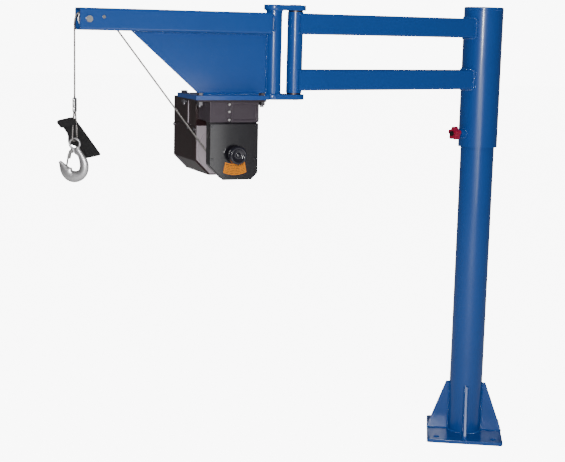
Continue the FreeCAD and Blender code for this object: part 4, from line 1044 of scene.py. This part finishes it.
def build_clutch_knob():
    """A glossy knob with a gripped rim, a dished face and a centre button."""
    (out_low, out_high), (near_low, near_high), _ = BOOM.span("clutch_knob")
    centre = centre_of("clutch_knob")
    front = BOOM.span("gear_cover")[1][1]
    reach = (out_high - out_low) / 2
    deep = near_high - front
    corners = [(0, near_low - front), (9, near_low - front), (9, 0.6), (reach * 0.62, 0.6),
               (reach * 0.62, deep * 0.22), (reach * 0.94, deep * 0.34), (reach, deep * 0.48),
               (reach, deep * 0.80), (reach * 0.90, deep * 0.98), (reach * 0.72, deep),
               (reach * 0.60, deep * 0.86), (reach * 0.34, deep * 0.80), (reach * 0.24, deep * 0.84),
               (reach * 0.22, deep * 0.97), (0, deep * 0.98)]
    mesh = lathe("Clutch_knob_turned", smooth_profile(corners), BOOM.point(centre.x, front, centre.y),
                 BOOM.across, UP, lobes=24, lobe_depth=0.4, grip=(deep * 0.42, deep * 0.86), count=192)
    add_object("Clutch_knob_turned", mesh, "knob gloss", "clutch", ("clutch_knob",))


LABEL_TOP_HALF = 31
LABEL_FOOT_HALF = 37
LABEL_SWEEP = 87


def label_strip(rows, half_width, place):
    """Quads between arcs. place(across, drop) gives a point; a row is two drops and two width shares."""
    vertices = []
    faces = []
    for low, high, left, right in rows:
        steps = max(3, int((right - left) * 14))
        start = len(vertices)
        for k in range(steps + 1):
            share = left + (right - left) * k / steps
            vertices.extend((place(share * half_width(low), low), place(share * half_width(high), high)))
        firsts = range(start, start + 2 * steps, 2)
        faces.extend((first, first + 1, first + 3, first + 2) for first in firsts)
    return vertices, faces


def thickened(name, vertices, faces, depth):
    """A mesh of flat quads pulled out towards the near side by a depth in millimetres."""
    mesh = new_mesh(name, vertices, faces)
    with edited(mesh) as shape:
        bmesh.ops.remove_doubles(shape, verts=shape.verts, dist=1e-7)
        pulled = bmesh.ops.extrude_face_region(shape, geom=shape.faces[:], use_keep_orig=True)
        moved = [part for part in pulled["geom"] if isinstance(part, bmesh.types.BMVert)]
        bmesh.ops.translate(shape, verts=moved, vec=BOOM.across * depth * MM)
        bmesh.ops.recalc_face_normals(shape, faces=shape.faces)
    return mesh


def build_label():
    """A plain orange film below the knob, curved above and below, with rows of short bars for its print."""
    centre = centre_of("clutch_knob")
    spots = []
    for vertex in frame["nodes"]["warning_label"].data.vertices:
        local = vertex.co - BOOM.origin
        spots.append((Vector((local.dot(BOOM.along), local.z)) / MM - centre).length)
    top, foot = min(spots) - 3, max(spots) - 3
    face, film = BOOM.span("warning_label")[1]

    def half_width(drop):
        return LABEL_TOP_HALF + (LABEL_FOOT_HALF - LABEL_TOP_HALF) * (drop - top) / (foot - top)

    def on_film(across, drop, near=face):
        rise = LABEL_SWEEP - math.sqrt(LABEL_SWEEP ** 2 - across ** 2)
        return BOOM.point(centre.x + across, near, centre.y - drop + rise)

    bands = 6
    edges = [top + (foot - top) * i / bands for i in range(bands + 1)]
    rows = [(low, high, -1, 1) for low, high in zip(edges, edges[1:])]
    vertices, faces = label_strip(rows, half_width, on_film)
    mesh = thickened("Label_film", vertices, faces, film - face)
    add_object("Label_film", mesh, "label", "boom", ("warning_label",))

    rng = random.Random(4)
    words = []
    for row in range(6):
        middle = top + (foot - top) * (0.14 + 0.145 * row)
        half = 1.3 if row == 0 else 0.75
        left = -0.9
        while left < 0.86:
            right = min(0.9, left + rng.uniform(0.10, 0.42))
            words.append((middle - half, middle + half, left, right))
            left = right + 0.07
    vertices, faces = label_strip(words, half_width, lambda across, drop: on_film(across, drop, film + 0.02))
    add_object("Label_bars", thickened("Label_bars", vertices, faces, 0.1), "label ink", "boom")


def bar(name, start, end, width, rise, outward, material, slot, body="boom"):
    """A raised rib from start to end: a rounded strip that stands out from a face."""
    along = (end - start).normalized()
    outward = Vector(outward).normalized()
    side = along.cross(outward)
    steps = 8
    vertices = []
    for spot in (start, end):
        for k in range(steps + 1):
            turn = math.pi * k / steps
            vertices.append(spot + side * math.cos(turn) * width / 2 * MM + outward * math.sin(turn) * rise * MM)
    count = steps + 1
    faces = [(k, k + 1, count + k + 1, count + k) for k in range(steps)]
    faces.append((0, count, 2 * count - 1, count - 1))
    mesh = new_mesh(name, vertices, faces + end_faces(1, count))
    with edited(mesh) as shape:
        bmesh.ops.recalc_face_normals(shape, faces=shape.faces)
    shade(mesh, 50)
    return add_object(name, mesh, material, body)


def groove_span():
    """The groove in the winch frame's front: its two sides along the boom, and its floor."""
    front = BOOM.span("winch_frame")[1][1]
    floor = [vertex.co - BOOM.origin for vertex in frame["nodes"]["winch_frame"].data.vertices
             if 1 < front - (vertex.co - BOOM.origin).dot(BOOM.across) / MM < 12]
    outs = [co.dot(BOOM.along) / MM for co in floor]
    return min(outs), max(outs), max(co.dot(BOOM.across) for co in floor) / MM


def build_winch_details():
    """Ribs and screws on the winch's casings."""
    TREES["screw"] = build_screw_tree()
    frame_out, (_, front), (low, high) = BOOM.span("winch_frame")
    groove_low, groove_high, floor = groove_span()
    middle = groove_low + (groove_high - groove_low) * 0.62
    levels = [low + (high - low) * share for share in (0.12, 0.52, 0.88)]
    spots = BOOM.line(*((middle, floor + 1.2, level) for level in levels))
    screws("Groove_screws", spots, BOOM.across, 4.2, 2.6, "zinc")
    ends = BOOM.line((groove_low - 7, front, low + 13), (frame_out[0] + 3, front, low + 4))
    bar("Frame_rib", *ends, 3.0, 1.6, BOOM.across, "frame paint", "winch_black")
    ends = BOOM.line((groove_low - 3.2, front, low + 2), (groove_low - 3.2, front, high - 2))
    bar("Frame_edge", *ends, 4.0, 1.8, BOOM.across, "frame paint", "winch_black")
    cover_out, (_, cover_front), (cover_low, cover_high) = BOOM.span("gear_cover")
    corners = [(cover_out[0] + 9, cover_high - 9), (cover_out[1] - 9, cover_high - 9),
               (cover_out[0] + 9, (cover_low + cover_high) / 2 - 22),
               (cover_out[1] - 9, (cover_low + cover_high) / 2 - 22)]
    spots = BOOM.line(*((out, cover_front + 0.7, level) for out, level in corners))
    screws("Cover_screws", spots, BOOM.across, 3.6, 1.8, "knob gloss")
    saddle_out, (far, close), (saddle_low, saddle_high) = BOOM.span("motor_saddle")
    rib_at = far + (close - far) * 0.68
    bar("Saddle_rib", BOOM.point(saddle_out[1], rib_at, saddle_low + 3),
        BOOM.point(saddle_out[1], rib_at, saddle_high - 3), 4.0, 2.2, BOOM.along, "cast grey", "winch_black")
    seam = BOOM.span("motor_housing")[2][1]
    spots = [BOOM.point(saddle_out[1] + 1.0, near, seam - 10) for near in (far + 8, rib_at, close - 8)]
    screws("Seam_screws", spots, BOOM.along, 5.0, 3.4, "dark zinc")


# ------------------------------------------------------------------ hook, latch, strap and lock knob
BOWL_SHIFT = -3.8
BOWL_RISE = 46.1
HORN_SECTOR = 5
HORN_END = 235
POINT_LIFT = 0.008


def eased(value, low, high):
    """A smooth step from 0 at low to 1 at high."""
    share = min(1.0, max(0.0, (value - low) / (high - low)))
    return share * share * (3 - 2 * share)


def fuller_horn(skin):
    """Draws the hook's inner side in towards its bowl, for a deep blunt horn, and lifts its point."""
    low = min(vertex.co.z for vertex in skin.verts)
    centre = Vector((HOOK_PLACE.x + BOWL_SHIFT * MM, HOOK_PLACE.y, low + BOWL_RISE * MM))
    polar = []
    reach = {}
    for vertex in skin.verts:
        spot = vertex.co - centre
        below = math.degrees(math.atan2(-spot.z, spot.x)) % 360
        radius = math.hypot(spot.x, spot.z)
        polar.append((vertex, below, radius))
        sector = int(below // HORN_SECTOR)
        reach[sector] = max(reach.get(sector, 0.0), radius)
    for vertex, below, radius in polar:
        if below > HORN_END:
            continue
        sector = below / HORN_SECTOR - 0.5
        low = reach.get(math.floor(sector), reach[int(below // HORN_SECTOR)])
        high = reach.get(math.floor(sector) + 1, reach[int(below // HORN_SECTOR)])
        outer = low + (high - low) * (sector - math.floor(sector))
        stretch = (1 + 0.22 * eased(below, 20, 90) + 0.62 * eased(below, 90, 160)
                   - 0.40 * eased(below, 172, 200))
        drawn = outer - (outer - radius) * stretch
        turn = math.radians(below)
        vertex.co.x = centre.x + drawn * math.cos(turn)
        vertex.co.z = centre.z - drawn * math.sin(turn) + POINT_LIFT * eased(below, 165, 200)


def moulded(node, voxel, passes, ripple, material, body, name, sculpt=None):
    """A CAD node remeshed, relaxed and roughened, so that its parts run into each other as one casting."""
    shape = bpy.data.objects.new(name, frame["nodes"][node].data.copy())
    remesh = shape.modifiers.new("Remesh", "REMESH")
    remesh.mode = "VOXEL"
    remesh.voxel_size = voxel * MM
    mesh = evaluated_mesh(shape)
    with edited(mesh) as skin:
        if sculpt:
            sculpt(skin)
        for _ in range(passes):
            bmesh.ops.smooth_vert(skin, verts=skin.verts, factor=0.5, use_axis_x=True, use_axis_y=True,
                                  use_axis_z=True)
        skin.normal_update()
        for vertex in skin.verts:
            rough = noise.noise(vertex.co * 260) + 0.5 * noise.noise(vertex.co * 700)
            vertex.co += vertex.normal * rough * ripple * MM
    mesh.shade_smooth()
    return add_object(name, mesh, material, body, (node,))


def strap_axes():
    """The strap's length, width and thickness directions, from the creases of its CAD solid."""
    shape = bmesh.new()
    shape.from_mesh(frame["nodes"]["hand_strap"].data)
    bmesh.ops.remove_doubles(shape, verts=shape.verts, dist=1e-6)
    bmesh.ops.dissolve_limit(shape, angle_limit=math.radians(1), verts=shape.verts, edges=shape.edges)
    flat = max(shape.faces, key=lambda face: face.calc_area()).normal.copy()
    longest = max(shape.edges, key=lambda edge: edge.calc_length())
    length = (longest.verts[0].co - longest.verts[1].co).normalized()
    shape.free()
    if flat.dot(BOOM.across) < 0:
        flat = -flat
    if length.z < 0:
        length = -length
    return length, length.cross(flat), flat


STRAP_ROWS = 50
STRAP_TURN_ROWS = 14
STRAP_FLAP_ROWS = 10
STRAP_SKEW = 0.42
STRAP_FOLD = 20
STRAP_ROUND = 5
STRAP_SWELL = 14
SWELL_SPREAD = 15


def build_strap():
    """A hand strap of woven webbing, folded forward over the rope's eye at its top."""
    length, width, flat = strap_axes()
    corners = [vertex.co for vertex in frame["nodes"]["hand_strap"].data.vertices]
    (low, high), (left, right), (back, front) = [
        (min(co.dot(axis) for co in corners) / MM, max(co.dot(axis) for co in corners) / MM)
        for axis in (length, width, flat)]
    thick = min(2.4, front - back - 0.4)
    depth = (front + back) / 2
    lift = HOOK_PLACE.dot(flat) / MM - depth + ROPE_WIDTH / MM + EYE_NECK + thick
    swell_at = Vector((HOOK_PLACE.x, HOOK_PLACE.y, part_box("rope_eye")[0][2])).dot(length) / MM
    rows = [(low + (high - low) * i / STRAP_ROWS, depth) for i in range(STRAP_ROWS + 1)]
    turns = [math.pi * i / STRAP_TURN_ROWS for i in range(1, STRAP_TURN_ROWS)]
    rows.extend((high + 6 * math.sin(turn), depth + lift * (1 - math.cos(turn)) / 2) for turn in turns)
    flap_from = len(rows)
    rows.extend((high - STRAP_FOLD * i / STRAP_FLAP_ROWS, depth + lift * (1 - 0.12 * i / STRAP_FLAP_ROWS))
                for i in range(STRAP_FLAP_ROWS + 1))
    columns = 20
    count = columns + 1
    half = (right - left) / 2
    vertices = []
    for index, (along, out) in enumerate(rows):
        for k in range(count):
            side = -1 + 2 * k / columns
            across = (left + right) / 2 + side * half
            trim = STRAP_ROUND * (1 - math.sqrt(1 - side ** 8))
            if index <= STRAP_ROWS:
                near_ring = math.exp(-((along - swell_at) / SWELL_SPREAD) ** 2)
                across -= STRAP_SWELL * near_ring * max(0.0, -side) ** 2
                place = min(max(along, low + trim), high - trim)
            elif index < flap_from:
                place = along - trim
            else:
                place = min(max(along, high - STRAP_FOLD + trim), high - trim)
            wave = 0.5 * noise.noise(Vector((along * 0.05, across * 0.05, 3.0)))
            vertices.append((length * (place - side * half * STRAP_SKEW)
                             + width * across + flat * (out + wave)) * MM)
    faces = [(i * count + k, i * count + k + 1, (i + 1) * count + k + 1, (i + 1) * count + k)
             for i in range(len(rows) - 1) for k in range(columns)]
    mesh = new_mesh("Strap_webbing", vertices, faces)
    weave = mesh.uv_layers.new(name="Weave")
    travelled = [0.0]
    for (a0, d0), (a1, d1) in zip(rows, rows[1:]):
        travelled.append(travelled[-1] + math.hypot(a1 - a0, d1 - d0))
    for loop in mesh.loops:
        row, column = divmod(loop.vertex_index, count)
        weave.data[loop.index].uv = (column / columns * 2 * half, travelled[row])
    cloth = bpy.data.objects.new("Strap_cloth", mesh)
    wall = cloth.modifiers.new("Thickness", "SOLIDIFY")
    wall.thickness = thick * MM
    wall.offset = 0
    rounding = cloth.modifiers.new("Edges", "BEVEL")
    rounding.width = 0.7 * MM
    rounding.segments = 2
    rounding.limit_method = "ANGLE"
    finished = evaluated_mesh(cloth)
    with edited(finished) as shape:
        bmesh.ops.recalc_face_normals(shape, faces=shape.faces)
    shade(finished, 50)
    add_object("Strap_webbing", finished, "webbing", "strap", ("hand_strap",))


def build_hook_parts():
    moulded("hook_forging", 0.8, 6, 0.10, "forged", "hook", "Hook_forging", fuller_horn)
    moulded("lock_knob", 0.7, 6, 0.03, "red plastic", "lock_handle", "Lock_knob_moulded")
    softened("hook_latch", 0.25, "zinc", "latch", segments=2, name="Hook_latch_pressed")
    build_strap()


# ------------------------------------------------------------------ build everything
build_camera()
build_materials()
build_rope()
build_rope_eye()
build_lights()
build_floor()
build_wraps()
build_steelwork()
build_welds()
build_winch_casings()
build_clutch_knob()
build_label()
build_winch_details()
build_hook_parts()
finish_nodes()
